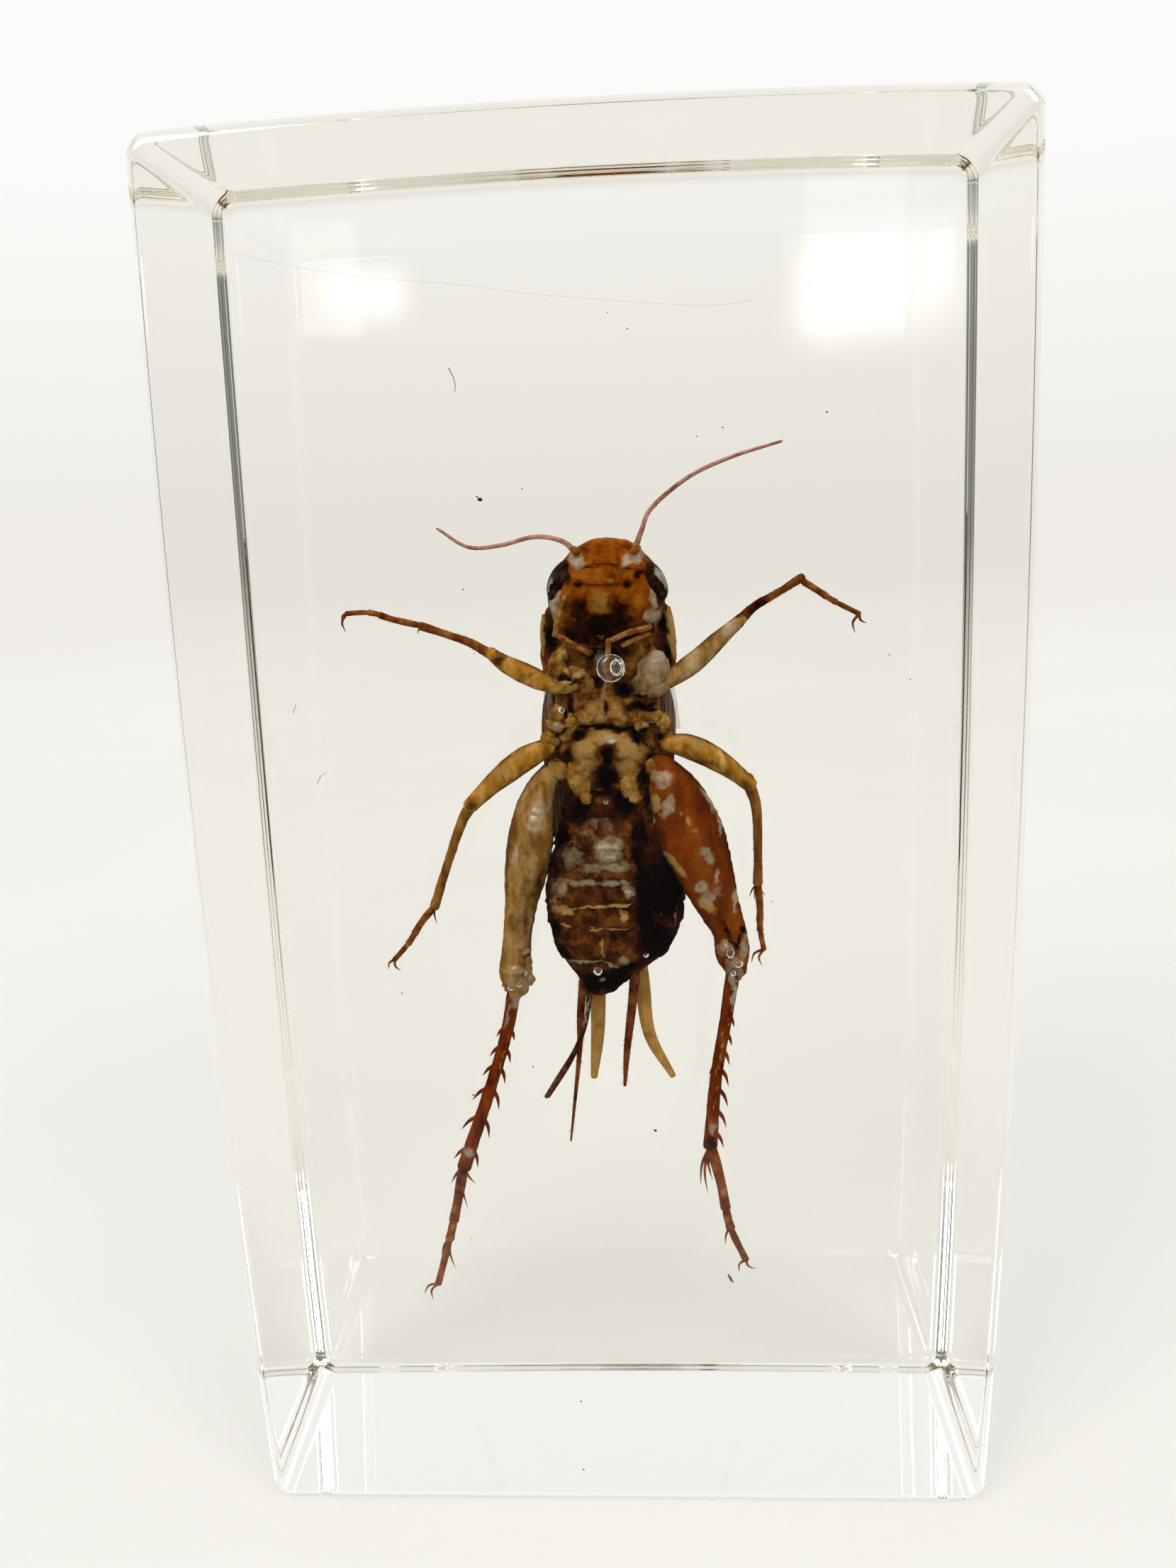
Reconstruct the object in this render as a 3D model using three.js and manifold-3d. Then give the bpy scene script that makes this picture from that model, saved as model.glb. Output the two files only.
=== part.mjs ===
// A female house cricket cast in an upright block of clear resin.
// Millimetres, +Z up. The block stands on its small end with the origin at the
// middle of its foot, its broad front towards -Y. The cricket hangs head up in
// the block's middle plane, y = 0, with its underside to the front. The resin
// is parted in that plane, and each half holds its side of the pocket that the
// cricket fills.
import * as THREE from "three";
import { mergeVertices } from "three/addons/utils/BufferGeometryUtils.js";
import Module from "manifold-3d";

// The block.
const BLOCK_WIDTH = 41;
const BLOCK_DEPTH = 21;
const BLOCK_HEIGHT = 73;
const SIDE_BOW = 0.6; // how far each side wall swells at half height
const TOP_BOW = 0.4;
const EDGE_RADIUS = 0.8; // front and back edges
const CORNER_RADIUS = 1.2; // upright corners of the outline
const CORNER_STEPS = 4;
const SIDE_STEPS = 6;
const EDGE_STEPS = 3;

// The pocket: a sleeve round the body, in the same terms as the body sections
// below, and a tunnel round each limb.
const CLEARANCE = 0.4;
const SPINE_REACH = 0.7; // room beside a spined shin and its foot
const SPINED_DEPTH = 0.7; // how deep such a tunnel is for each unit of width
const SLEEVE = [
  [54.8, 0.45, 2.0, 2.0, 1.5],
  [53.2, 0.5, 4.5, 3.3, 2.5],
  [51.0, 0.5, 4.8, 3.8, 3.3],
  [47.0, 0.4, 5.2, 4.4, 3.7],
  [42.8, 0.35, 5.2, 4.2, 3.8],
  [38.0, 0.35, 4.5, 3.2, 3.7],
  [34.0, 0.4, 4.6, 3.0, 3.5],
  [31.0, 0.15, 3.8, 2.5, 3.1],
  [29.4, -0.3, 2.3, 1.8, 2.4],
  [28.0, -0.7, 1.2, 1.1, 1.4],
];

// How finely the cricket is faceted.
const BODY_SIDES = 14;
const FEMUR_SIDES = 8;
const LIMB_SIDES = 6;
const THIN_SIDES = 5;
const SPINE_SIDES = 3;
const EYE_SIDES = 10;
const EYE_RINGS = 6;
const SLEEVE_SIDES = 10;
const TUNNEL_SIDES = 4;

// Body sections from the head's end to the tail's, each as
// [z, middle x, half width, depth to the front, depth to the back].
const HEAD = [
  [54.1, 0.45, 0.9, 0.9, 0.5],
  [53.6, 0.5, 1.9, 1.7, 1.3],
  [52.6, 0.5, 2.7, 2.4, 1.9],
  [51.3, 0.5, 3.1, 2.7, 2.3],
  [50.0, 0.45, 2.9, 2.6, 2.3],
  [48.8, 0.4, 2.3, 2.3, 2.0],
];
const PRONOTUM = [
  [50.5, 0.4, 3.2, 0.3, 2.5],
  [49.5, 0.4, 3.6, 0.6, 2.8],
  [47.8, 0.35, 3.6, 0.7, 2.9],
  [46.2, 0.35, 3.4, 0.4, 2.7],
];
const THORAX = [
  [49.8, 0.4, 2.0, 1.9, 1.6],
  [48.0, 0.35, 2.7, 2.1, 2.2],
  [46.0, 0.3, 2.8, 2.3, 2.3],
  [44.0, 0.3, 3.1, 2.5, 2.4],
  [42.4, 0.3, 3.2, 2.4, 2.4],
  [40.6, 0.3, 2.7, 1.9, 2.2],
];
const FORE_WINGS = [
  [47.4, 0.35, 3.3, 0.1, 2.8],
  [45.0, 0.35, 3.6, 0.6, 3.0],
  [42.5, 0.3, 3.6, 0.3, 3.1],
  [38.0, 0.3, 3.2, -0.6, 3.0],
  [34.5, 0.3, 2.6, -1.2, 2.8],
  [32.4, 0.2, 1.2, -1.7, 2.5],
];
// The abdomen's outline between its plates, and where each plate ends.
const ABDOMEN = [
  [41.6, 0.3, 1.9, 1.2, 1.7],
  [39.5, 0.3, 2.6, 1.8, 2.1],
  [37.6, 0.35, 3.2, 2.1, 2.3],
  [35.9, 0.4, 3.8, 2.3, 2.4],
  [34.1, 0.4, 3.9, 2.3, 2.4],
  [32.6, 0.35, 3.7, 2.1, 2.2],
  [31.0, 0.15, 3.0, 1.7, 1.8],
  [29.8, -0.2, 1.8, 1.2, 1.2],
  [28.5, -0.7, 0.6, 0.5, 0.5],
];
const PLATE_ENDS = [37.4, 35.8, 34.0, 32.6, 30.8];
const PLATE_STEP = 0.14;
const PLATE_LIP = 0.08;
const EYES = [
  { centre: [-1.95, -0.5, 51.9], tilt: 0.5 },
  { centre: [2.95, -0.5, 51.8], tilt: -0.5 },
];
const EYE_RADII = [0.75, 1.3, 1.3];

// Half thickness of each pair of legs, joint by joint.
const FORE_LEG = {
  coxa: [0.85, 1.05, 0.6],
  femur: [0.5, 0.57, 0.48, 0.3],
  tibia: [0.28, 0.27, 0.21, 0.24],
  foot: [0.19, 0.14, 0.12, 0.1],
};
const MIDDLE_LEG = {
  coxa: [0.8, 1.0, 0.65],
  femur: [0.5, 0.68, 0.62, 0.42],
  tibia: [0.36, 0.3, 0.26, 0.28],
  foot: [0.2, 0.15, 0.13, 0.12],
};
const HIND_LEG = {
  coxa: [0.9, 1.2, 0.9],
  tibia: [0.42, 0.36, 0.36, 0.42],
  foot: [0.34, 0.24, 0.2, 0.15],
};

// Each leg as the points [x, y, z] that its parts run through from the body out.
const LEGS = [
  {
    ...FORE_LEG,
    coxaPath: [[-0.9, -1.6, 48.4], [-1.6, -1.9, 47.4], [-2.7, -1.6, 46.6]],
    femurPath: [[-2.4, -1.6, 46.4], [-3.9, -1.3, 47.1], [-5.1, -0.9, 47.7], [-5.9, -0.6, 48.3]],
    tibiaPath: [[-5.7, -0.6, 48.1], [-6.9, -0.4, 48.8], [-7.9, -0.3, 49.2], [-9.6, -0.1, 49.8]],
    footPath: [[-9.5, -0.1, 49.8], [-11.1, 0, 50.2], [-12.3, 0, 50.6], [-13.6, 0, 50.6]],
    claws: [[-13.9, 0, 50.2], [-13.75, 0.1, 49.6]],
  },
  {
    ...FORE_LEG,
    coxaPath: [[1.9, -1.6, 48.3], [2.7, -1.9, 47.2], [3.6, -1.6, 46.6]],
    femurPath: [[3.5, -1.6, 46.5], [5.0, -1.4, 47.5], [6.3, -1.0, 48.6], [7.6, -0.6, 49.7]],
    tibiaPath: [[7.4, -0.6, 49.5], [8.3, -0.4, 50.3], [9.4, -0.3, 50.9], [10.8, 0, 51.7]],
    footPath: [[10.7, 0, 51.6], [11.6, 0, 51.0], [12.5, 0, 50.4], [13.8, 0, 49.7]],
    claws: [[14.2, 0, 49.2], [13.6, 0, 48.7]],
  },
  {
    ...MIDDLE_LEG,
    coxaPath: [[-1.3, -1.7, 45.3], [-2.2, -1.9, 44.5], [-3.1, -1.6, 43.3]],
    femurPath: [[-2.9, -1.6, 43.2], [-4.4, -1.1, 42.4], [-6.0, -0.7, 41.2], [-7.5, -0.4, 39.8]],
    tibiaPath: [[-7.3, -0.4, 40.0], [-8.0, -0.3, 38.9], [-9.0, 0, 36.4], [-9.9, 0.2, 33.9]],
    footPath: [[-9.9, 0.2, 33.9], [-10.7, 0.2, 33.0], [-11.5, 0.2, 31.8], [-12.4, 0.2, 30.8]],
    claws: [[-12.8, 0.2, 30.2], [-12.1, 0.2, 30.1]],
  },
  {
    ...MIDDLE_LEG,
    coxaPath: [[1.7, -1.7, 45.2], [2.7, -1.9, 44.4], [3.6, -1.6, 43.4]],
    femurPath: [[3.4, -1.6, 43.3], [5.0, -1.2, 42.8], [6.6, -0.7, 41.8], [8.0, -0.4, 40.6]],
    tibiaPath: [[7.8, -0.4, 40.9], [8.3, -0.2, 39.4], [8.4, 0, 37.0], [8.4, 0.2, 34.9]],
    footPath: [[8.4, 0.2, 34.9], [8.5, 0.2, 33.4], [8.5, 0.2, 32.2], [8.7, 0.2, 31.0]],
    claws: [[8.0, 0.2, 30.2], [8.6, 0.2, 30.0]],
  },
  {
    ...HIND_LEG,
    coxaPath: [[-0.7, -1.3, 43.0], [-1.5, -1.5, 41.8], [-2.8, -1.2, 41.2]],
    femur: [0.6, 0.95, 1.25, 1.2, 0.85, 0.82, 0.95, 0.6],
    femurDepth: 1.25,
    femurPath: [
      [-2.9, -1.0, 41.7], [-3.7, -0.9, 40.2], [-4.1, -0.8, 38.3], [-4.5, -0.7, 36.2],
      [-5.0, -0.6, 33.6], [-5.3, -0.5, 31.4], [-5.4, -0.5, 30.0], [-5.3, -0.5, 29.0],
    ],
    tibiaPath: [[-5.4, -0.5, 29.6], [-6.1, -0.4, 26.4], [-7.2, -0.2, 23.0], [-9.1, 0, 17.8]],
    footPath: [[-9.1, 0, 18.0], [-9.6, 0, 15.6], [-10.2, 0, 13.2], [-11.1, 0, 10.1]],
    claws: [[-12.0, 0, 9.4], [-11.5, 0, 9.0]],
    spineRows: [
      { side: -1, lengths: [0.5, 0.6, 0.7, 0.9, 1.0, 0.8] },
      { side: 1, lengths: [0.5, 0.7, 0.8, 1.0, 1.0, 0.9] },
    ],
    spurs: [[-9.0, -0.3, 15.2], [-9.9, -0.2, 16.8], [-8.5, 0, 16.7]],
    footSpurs: [[-10.8, 0, 12.0], [-10.0, 0, 11.1]],
  },
  {
    ...HIND_LEG,
    coxaPath: [[1.2, -1.3, 43.0], [1.9, -1.6, 41.7], [3.0, -1.5, 41.3]],
    femur: [0.8, 1.5, 1.8, 1.65, 1.25, 0.95, 0.95, 0.6],
    femurDepth: 0.65,
    femurPath: [
      [3.0, -1.4, 42.0], [3.9, -1.4, 40.2], [4.6, -1.4, 38.2], [5.2, -1.3, 36.5],
      [6.0, -1.1, 34.2], [6.7, -0.9, 32.4], [6.9, -0.7, 31.0], [7.1, -0.6, 29.9],
    ],
    tibiaPath: [[7.0, -0.6, 30.3], [6.5, -0.4, 27.0], [5.9, -0.2, 23.4], [5.5, 0, 19.0]],
    footPath: [[5.5, 0, 19.2], [6.1, 0, 16.6], [6.6, 0, 13.8], [7.5, 0, 11.6]],
    claws: [[7.1, 0, 10.8], [8.1, 0, 11.0]],
    spineRows: [
      { side: 1, lengths: [0.5, 0.6, 0.7, 0.9, 1.0, 1.0, 0.9] },
      { side: -1, lengths: [0.2, 0.3, 0.3] },
    ],
    spurs: [[4.9, 0, 16.5], [5.3, -0.2, 16.0], [5.6, 0, 16.8]],
    footSpurs: [[6.3, 0, 12.6], [7.1, 0, 13.1]],
  },
];
const SPINE_BASE = 0.13;
const SPINE_TIP = 0.03;
const SPINE_SLANT = 0.6; // radians off the shin's line
const SPINES_FROM = 0.3; // share of the shin's length
const SPINES_TO = 0.92;

// Feelers, mouthparts and tail parts: path, half thicknesses and how deep for
// each unit of width.
const APPENDAGES = {
  leftAntenna: {
    path: [
      [-0.9, -1.2, 53.2], [-1.7, -1.1, 54.0], [-3.2, -0.6, 54.3],
      [-5.2, -0.1, 53.9], [-6.9, 0.4, 53.9], [-8.5, 0.9, 54.9],
    ],
    radii: [0.2, 0.14, 0.12, 0.11, 0.11, 0.1],
  },
  rightAntenna: {
    path: [
      [1.9, -1.2, 53.1], [2.4, -1.0, 54.4], [3.0, -0.6, 55.6],
      [5.0, 0.1, 57.1], [7.2, 0.6, 58.0], [9.8, 0.9, 58.7],
    ],
    radii: [0.2, 0.14, 0.12, 0.11, 0.11, 0.1],
  },
  leftPalp: {
    path: [[-1.2, -2.0, 50.8], [-2.0, -2.4, 49.3], [-0.5, -2.7, 48.3]],
    radii: [0.16, 0.17, 0.2],
  },
  rightPalp: {
    path: [[2.1, -2.2, 49.9], [0.5, -2.9, 48.8], [0.4, -2.8, 46.6]],
    radii: [0.17, 0.17, 0.12],
  },
  ovipositor: {
    path: [[-1.2, -0.2, 29.2], [-1.6, -0.2, 26.8], [-2.4, -0.1, 24.8], [-4.0, 0, 22.2]],
    radii: [0.16, 0.11, 0.13, 0.16],
  },
  leftCercus: {
    path: [[-1.4, 0.3, 30.6], [-1.8, 0.4, 27.5], [-2.0, 0.5, 24.7], [-2.7, 0.6, 19.2]],
    radii: [0.3, 0.22, 0.17, 0.08],
  },
  rightCercus: {
    path: [[1.5, 0.3, 30.8], [1.2, 0.4, 28.0], [0.8, 0.5, 25.0], [0.6, 0.5, 22.7]],
    radii: [0.32, 0.28, 0.2, 0.1],
  },
  leftHindWingTip: {
    path: [[-0.5, 2.2, 33.0], [-0.8, 1.6, 29.0], [-0.9, 1.0, 26.0], [-1.2, 0.8, 23.2]],
    radii: [0.6, 0.5, 0.38, 0.1],
    depth: 0.4,
  },
  rightHindWingTip: {
    path: [[1.1, 2.2, 33.0], [1.7, 1.6, 29.2], [2.1, 1.0, 25.8], [3.4, 0.8, 23.2]],
    radii: [0.6, 0.5, 0.34, 0.1],
    depth: 0.4,
  },
};

const wasm = await Module();
wasm.setup();

// A closed three.js geometry as a solid.
function solidOf(geometry) {
  geometry.deleteAttribute("normal");
  geometry.deleteAttribute("uv");
  const merged = mergeVertices(geometry, 1e-4);
  return new wasm.Manifold(
    new wasm.Mesh({
      numProp: 3,
      vertProperties: new Float32Array(merged.attributes.position.array),
      triVerts: new Uint32Array(merged.index.array),
    }),
  );
}

// A solid as a named mesh with its material.
function meshOf(name, solid, material) {
  const { vertProperties, triVerts } = solid.getMesh();
  const geometry = new THREE.BufferGeometry();
  geometry.setAttribute("position", new THREE.BufferAttribute(vertProperties, 3));
  geometry.setIndex(new THREE.BufferAttribute(triVerts, 1));
  geometry.computeVertexNormals();
  const mesh = new THREE.Mesh(geometry, material);
  mesh.name = name;
  return mesh;
}

function union(solids) {
  return solids.reduce((whole, next) => whole.add(next));
}

// The triangles that close a ring of `count` points, from side to side.
function capFaces(count) {
  const faces = [];
  let low = 0;
  let high = count - 1;
  while (high - low > 1) {
    faces.push([low, low + 1, high]);
    low += 1;
    if (high - low > 1) faces.push([low, high - 1, high]);
    high -= 1;
  }
  return faces;
}

// A closed skin over rings of points, all of one count. Each ring turns
// anticlockwise about the way from the first ring to the last.
function skin(rings) {
  const count = rings[0].length;
  const last = (rings.length - 1) * count;
  const indices = [];
  for (let start = 0; start < last; start += count) {
    for (let i = 0; i < count; i++) {
      const a = start + i;
      const b = start + ((i + 1) % count);
      indices.push(a, b, b + count, a, b + count, a + count);
    }
  }
  for (const [a, b, c] of capFaces(count)) {
    indices.push(a, c, b);
    indices.push(last + a, last + b, last + c);
  }
  const geometry = new THREE.BufferGeometry();
  const positions = rings.flat().flatMap((p) => p.toArray());
  geometry.setAttribute("position", new THREE.Float32BufferAttribute(positions, 3));
  geometry.setIndex(indices);
  return solidOf(geometry);
}

// A body part lofted through its sections, given from the top down.
function bodyPart(sections, sides) {
  const rings = sections.map(([z, middle, halfWidth, front, back]) =>
    Array.from({ length: sides }, (_, i) => {
      const angle = (i / sides) * 2 * Math.PI;
      const x = middle + halfWidth * Math.cos(angle);
      const y = Math.sin(angle) * (Math.sin(angle) < 0 ? front : back);
      return new THREE.Vector3(x, y, z);
    }),
  );
  return skin(rings.reverse());
}

// A round or flattened limb along a smooth path of [x, y, z] points, with one
// half thickness for each of them. `depth` is its depth for each unit of width.
function limb(path, radii, sides, depth = 1) {
  const curve = new THREE.CatmullRomCurve3(path.map((p) => new THREE.Vector3(...p)));
  const steps = path.length > 2 && sides > TUNNEL_SIDES ? path.length + 1 : path.length - 1;
  const rings = [];
  for (let step = 0; step <= steps; step++) {
    const t = step / steps;
    const centre = curve.getPoint(t);
    const along = curve.getTangent(t);
    const side = new THREE.Vector3(0, 1, 0).cross(along).normalize();
    const deep = new THREE.Vector3().crossVectors(along, side);
    const place = t * (radii.length - 1);
    const index = Math.min(Math.floor(place), radii.length - 2);
    const radius = THREE.MathUtils.lerp(radii[index], radii[index + 1], place - index);
    rings.push(
      Array.from({ length: sides }, (_, i) => {
        const angle = (i / sides) * 2 * Math.PI;
        return centre
          .clone()
          .addScaledVector(side, radius * Math.cos(angle))
          .addScaledVector(deep, radius * depth * Math.sin(angle));
      }),
    );
  }
  return skin(rings);
}

// The abdomen's sections, with a small step down at the end of each plate.
function abdomenSections() {
  const steps = PLATE_ENDS.flatMap((z) => {
    const below = ABDOMEN.findIndex((section) => section[0] < z);
    const [upper, lower] = [ABDOMEN[below - 1], ABDOMEN[below]];
    const share = (upper[0] - z) / (upper[0] - lower[0]);
    const at = upper.map((value, i) => THREE.MathUtils.lerp(value, lower[i], share));
    const [, middle, halfWidth, front, back] = at;
    return [
      [z + PLATE_LIP, middle, halfWidth + PLATE_STEP, front + PLATE_STEP, back],
      [z, middle, halfWidth - PLATE_STEP, front - PLATE_STEP, back],
    ];
  });
  const clearOfSteps = ABDOMEN.filter((section) =>
    PLATE_ENDS.every((z) => Math.abs(section[0] - z) > 2 * PLATE_LIP),
  );
  return [...clearOfSteps, ...steps].sort((a, b) => b[0] - a[0]);
}

function eye({ centre, tilt }) {
  const geometry = new THREE.SphereGeometry(1, EYE_SIDES, EYE_RINGS);
  geometry.scale(...EYE_RADII);
  geometry.rotateY(tilt);
  geometry.translate(...centre);
  return solidOf(geometry);
}

// The rows of spines down a hind shin, slanting towards the foot.
function shinSpines(leg) {
  const curve = new THREE.CatmullRomCurve3(leg.tibiaPath.map((p) => new THREE.Vector3(...p)));
  return leg.spineRows.flatMap(({ side, lengths }) =>
    lengths.map((length, i) => {
      const share = i / (lengths.length - 1);
      const t = THREE.MathUtils.lerp(SPINES_FROM, SPINES_TO, share);
      const root = curve.getPoint(t);
      const along = curve.getTangent(t);
      const across = new THREE.Vector3(0, 1, 0).cross(along).normalize();
      const reach = length + HIND_LEG.tibia[1];
      const tip = root
        .clone()
        .addScaledVector(across, -side * reach * Math.sin(SPINE_SLANT))
        .addScaledVector(along, reach * Math.cos(SPINE_SLANT));
      return limb([root.toArray(), tip.toArray()], [SPINE_BASE, SPINE_TIP], SPINE_SIDES);
    }),
  );
}

function spikes(root, tips) {
  return tips.map((tip) => limb([root, tip], [SPINE_BASE, SPINE_TIP], SPINE_SIDES));
}

function legSolids(leg) {
  const shinEnd = leg.tibiaPath[leg.tibiaPath.length - 1];
  const ankle = leg.footPath[leg.footPath.length - 1];
  const solids = [
    limb(leg.coxaPath, leg.coxa, LIMB_SIDES),
    limb(leg.femurPath, leg.femur, leg.femurDepth ? FEMUR_SIDES : LIMB_SIDES, leg.femurDepth),
    limb(leg.tibiaPath, leg.tibia, LIMB_SIDES),
    limb(leg.footPath, leg.foot, THIN_SIDES),
    ...spikes(ankle, leg.claws),
  ];
  if (leg.spineRows) {
    solids.push(...shinSpines(leg));
    solids.push(...spikes(shinEnd, leg.spurs));
    solids.push(...spikes(leg.footPath[2], leg.footSpurs));
  }
  return solids;
}

function cricketSolid() {
  const body = [HEAD, PRONOTUM, THORAX, FORE_WINGS, abdomenSections()];
  return union([
    ...body.map((sections) => bodyPart(sections, BODY_SIDES)),
    ...EYES.map(eye),
    ...LEGS.flatMap(legSolids),
    ...Object.values(APPENDAGES).map(({ path, radii, depth }) => limb(path, radii, THIN_SIDES, depth)),
  ]);
}

// A tunnel that clears a limb by `room` at its sides and CLEARANCE at its ends.
function tunnel(path, radii, { depth = 1, sides = TUNNEL_SIDES, room = CLEARANCE } = {}) {
  const toCorner = 1 / Math.cos(Math.PI / sides);
  const grown = radii.map((radius) => (radius + room) * toCorner);
  const longer = path.map((p) => new THREE.Vector3(...p));
  const ends = [
    [longer[0], longer[1].clone()],
    [longer[longer.length - 1], longer[longer.length - 2].clone()],
  ];
  for (const [end, inner] of ends) {
    end.addScaledVector(inner.sub(end).normalize(), -CLEARANCE);
  }
  return limb(longer.map((p) => p.toArray()), grown, sides, depth);
}

// The room for one leg, wide enough at a hind shin and foot to take in spines.
function legPocket(leg) {
  const spined = leg.spineRows ? { room: SPINE_REACH, depth: SPINED_DEPTH } : {};
  const [firstClaw, secondClaw] = leg.claws.map((p) => new THREE.Vector3(...p));
  const clawEnd = firstClaw.lerp(secondClaw, 0.5).toArray();
  return [
    tunnel(leg.femurPath, leg.femur, { depth: leg.femurDepth, sides: LIMB_SIDES }),
    tunnel(leg.tibiaPath, leg.tibia, spined),
    tunnel([...leg.footPath, clawEnd], [...leg.foot, 0], spined),
  ];
}

function pocketSolid() {
  return union([
    bodyPart(SLEEVE, SLEEVE_SIDES),
    ...LEGS.flatMap(legPocket),
    ...Object.values(APPENDAGES).map(({ path, radii, depth }) => tunnel(path, radii, { depth })),
  ]);
}

// The block's outline seen from the front, clockwise, `inset` inside the full
// one: four rounded corners and between them walls that swell outwards.
function blockOutline(inset) {
  const radius = CORNER_RADIUS - inset;
  const x = BLOCK_WIDTH / 2 - CORNER_RADIUS;
  const low = CORNER_RADIUS;
  const high = BLOCK_HEIGHT - CORNER_RADIUS;
  const walls = [
    { corner: [-x, low], from: 270, outward: [-1, 0], bow: SIDE_BOW },
    { corner: [-x, high], from: 180, outward: [0, 1], bow: TOP_BOW },
    { corner: [x, high], from: 90, outward: [1, 0], bow: SIDE_BOW },
    { corner: [x, low], from: 0, outward: [0, -1], bow: 0 },
  ];
  const arcs = walls.map(({ corner, from }) =>
    Array.from({ length: CORNER_STEPS + 1 }, (_, i) => {
      const angle = THREE.MathUtils.degToRad(from - (90 * i) / CORNER_STEPS);
      return new THREE.Vector2(...corner).addScaledVector(
        new THREE.Vector2(Math.cos(angle), Math.sin(angle)),
        radius,
      );
    }),
  );
  return walls.flatMap(({ outward, bow }, side) => {
    const start = arcs[side][CORNER_STEPS];
    const end = arcs[(side + 1) % walls.length][0];
    const steps = bow ? SIDE_STEPS : 1;
    const wall = Array.from({ length: steps - 1 }, (_, i) => {
      const t = (i + 1) / steps;
      const swell = bow * (1 - (2 * t - 1) ** 2);
      return new THREE.Vector2()
        .lerpVectors(start, end, t)
        .addScaledVector(new THREE.Vector2(...outward), swell);
    });
    return [...arcs[side], ...wall];
  });
}

// Half of the block, from the middle plane to the face at `direction` * Y.
function blockHalf(direction) {
  const levels = [{ y: 0, inset: 0 }];
  for (let step = 0; step <= EDGE_STEPS; step++) {
    const angle = ((Math.PI / 2) * step) / EDGE_STEPS;
    levels.push({
      y: direction * (BLOCK_DEPTH / 2 - EDGE_RADIUS * (1 - Math.sin(angle))),
      inset: EDGE_RADIUS * (1 - Math.cos(angle)),
    });
  }
  levels.sort((a, b) => a.y - b.y);
  return skin(
    levels.map(({ y, inset }) => blockOutline(inset).map((p) => new THREE.Vector3(p.x, y, p.y))),
  );
}

const resin = new THREE.MeshStandardMaterial({
  color: 0xf4f1e4,
  roughness: 0.05,
  metalness: 0,
  transparent: true,
  opacity: 0.25,
});
const chitin = new THREE.MeshStandardMaterial({
  color: 0x8a4a1c,
  roughness: 0.35,
  metalness: 0,
});

const pocket = pocketSolid();
const group = new THREE.Group();
group.add(
  meshOf("resin_front", blockHalf(-1).subtract(pocket), resin),
  meshOf("resin_back", blockHalf(1).subtract(pocket), resin),
  meshOf("cricket", cricketSolid(), chitin),
);

export default group;
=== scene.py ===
"""A dried female cricket cast in an upright block of clear resin.

The CAD's two resin halves give way to one clear block, and its faceted cricket to fine
pieces in the same places: head, mouthparts, thorax, wings, abdomen, legs, feelers, tail.
Shapes are worked out in millimetres in the part's own frame and written in metres.
"""

import math

import bpy
import numpy as np
from mathutils import Matrix, Vector, noise


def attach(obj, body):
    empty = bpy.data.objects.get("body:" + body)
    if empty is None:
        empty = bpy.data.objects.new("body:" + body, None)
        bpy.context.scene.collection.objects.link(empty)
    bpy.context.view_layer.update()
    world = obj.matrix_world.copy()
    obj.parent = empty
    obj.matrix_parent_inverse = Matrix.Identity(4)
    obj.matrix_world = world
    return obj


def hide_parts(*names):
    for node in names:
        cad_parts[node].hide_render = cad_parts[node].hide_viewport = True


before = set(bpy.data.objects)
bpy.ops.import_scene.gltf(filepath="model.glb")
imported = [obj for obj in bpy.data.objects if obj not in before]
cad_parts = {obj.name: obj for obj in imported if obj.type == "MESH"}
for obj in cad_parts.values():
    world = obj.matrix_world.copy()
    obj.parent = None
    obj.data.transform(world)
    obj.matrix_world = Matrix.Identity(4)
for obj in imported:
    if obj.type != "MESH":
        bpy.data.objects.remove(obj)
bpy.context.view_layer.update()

MM = 0.001
BODY = "root"

# ---------------------------------------------------------------- the camera
IMAGE_HEIGHT = 2212
FOCAL_PIXELS = 1690
SENSOR = 36.0
NEAREST_SEEN = 0.002
CAMERA_PLACE = Vector((2.73, -68.19, 55.62)) * MM
CAMERA_YAW, CAMERA_PITCH, CAMERA_ROLL = (math.radians(a) for a in (3.231, -12.916, 2.147))


def add_camera():
    data = bpy.data.cameras.new("camera")
    data.sensor_fit = "VERTICAL"
    data.sensor_height = SENSOR
    data.lens = FOCAL_PIXELS * SENSOR / IMAGE_HEIGHT
    data.clip_start = NEAREST_SEEN
    camera = bpy.data.objects.new("camera", data)
    camera.matrix_world = (
        Matrix.Translation(CAMERA_PLACE)
        @ Matrix.Rotation(CAMERA_YAW, 4, "Z")
        @ Matrix.Rotation(CAMERA_PITCH, 4, "X")
        @ Matrix.Rotation(CAMERA_ROLL, 4, "Y")
        @ Matrix.Rotation(math.pi / 2, 4, "X")
    )
    bpy.context.scene.collection.objects.link(camera)
    bpy.context.scene.camera = camera


add_camera()

# ------------------------------------------------------------ shape building
SEED_SHIFT = (7.3, 3.1, 5.7)  # how far each seed moves the noise
NOISE_LAYERS = (0.6, 2.0, 3)  # how its layers fade, how much finer each is, how many there are
MARK_LUMPS = 0.8  # size of the unevenness in a mark's outline
MARK_WANDER = 0.2  # and how far it strays
MARK_REACH = 1.5  # a mark is full inside half its ellipse and gone at this many times its size
BUMP_EDGE = 9.0  # how steep the sides of an embossed bump are
BUMP_FACING = 1.6  # the higher, the further round to the sides bumps still rise
NO_MARKS = {"silver": np.zeros(0), "dark": np.zeros(0), "pale": np.zeros(0)}
THINNEST = 0.012
DOME_TURNS = (0.5, 0.95, 1.3)  # angles of the rings in a rounded end
SIDE_SHADE_NARROWNESS = 5  # the higher, the narrower the painted shade down a limb's sides
POLE_GAP = 0.06  # angle from a ball's pole to its first ring


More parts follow.
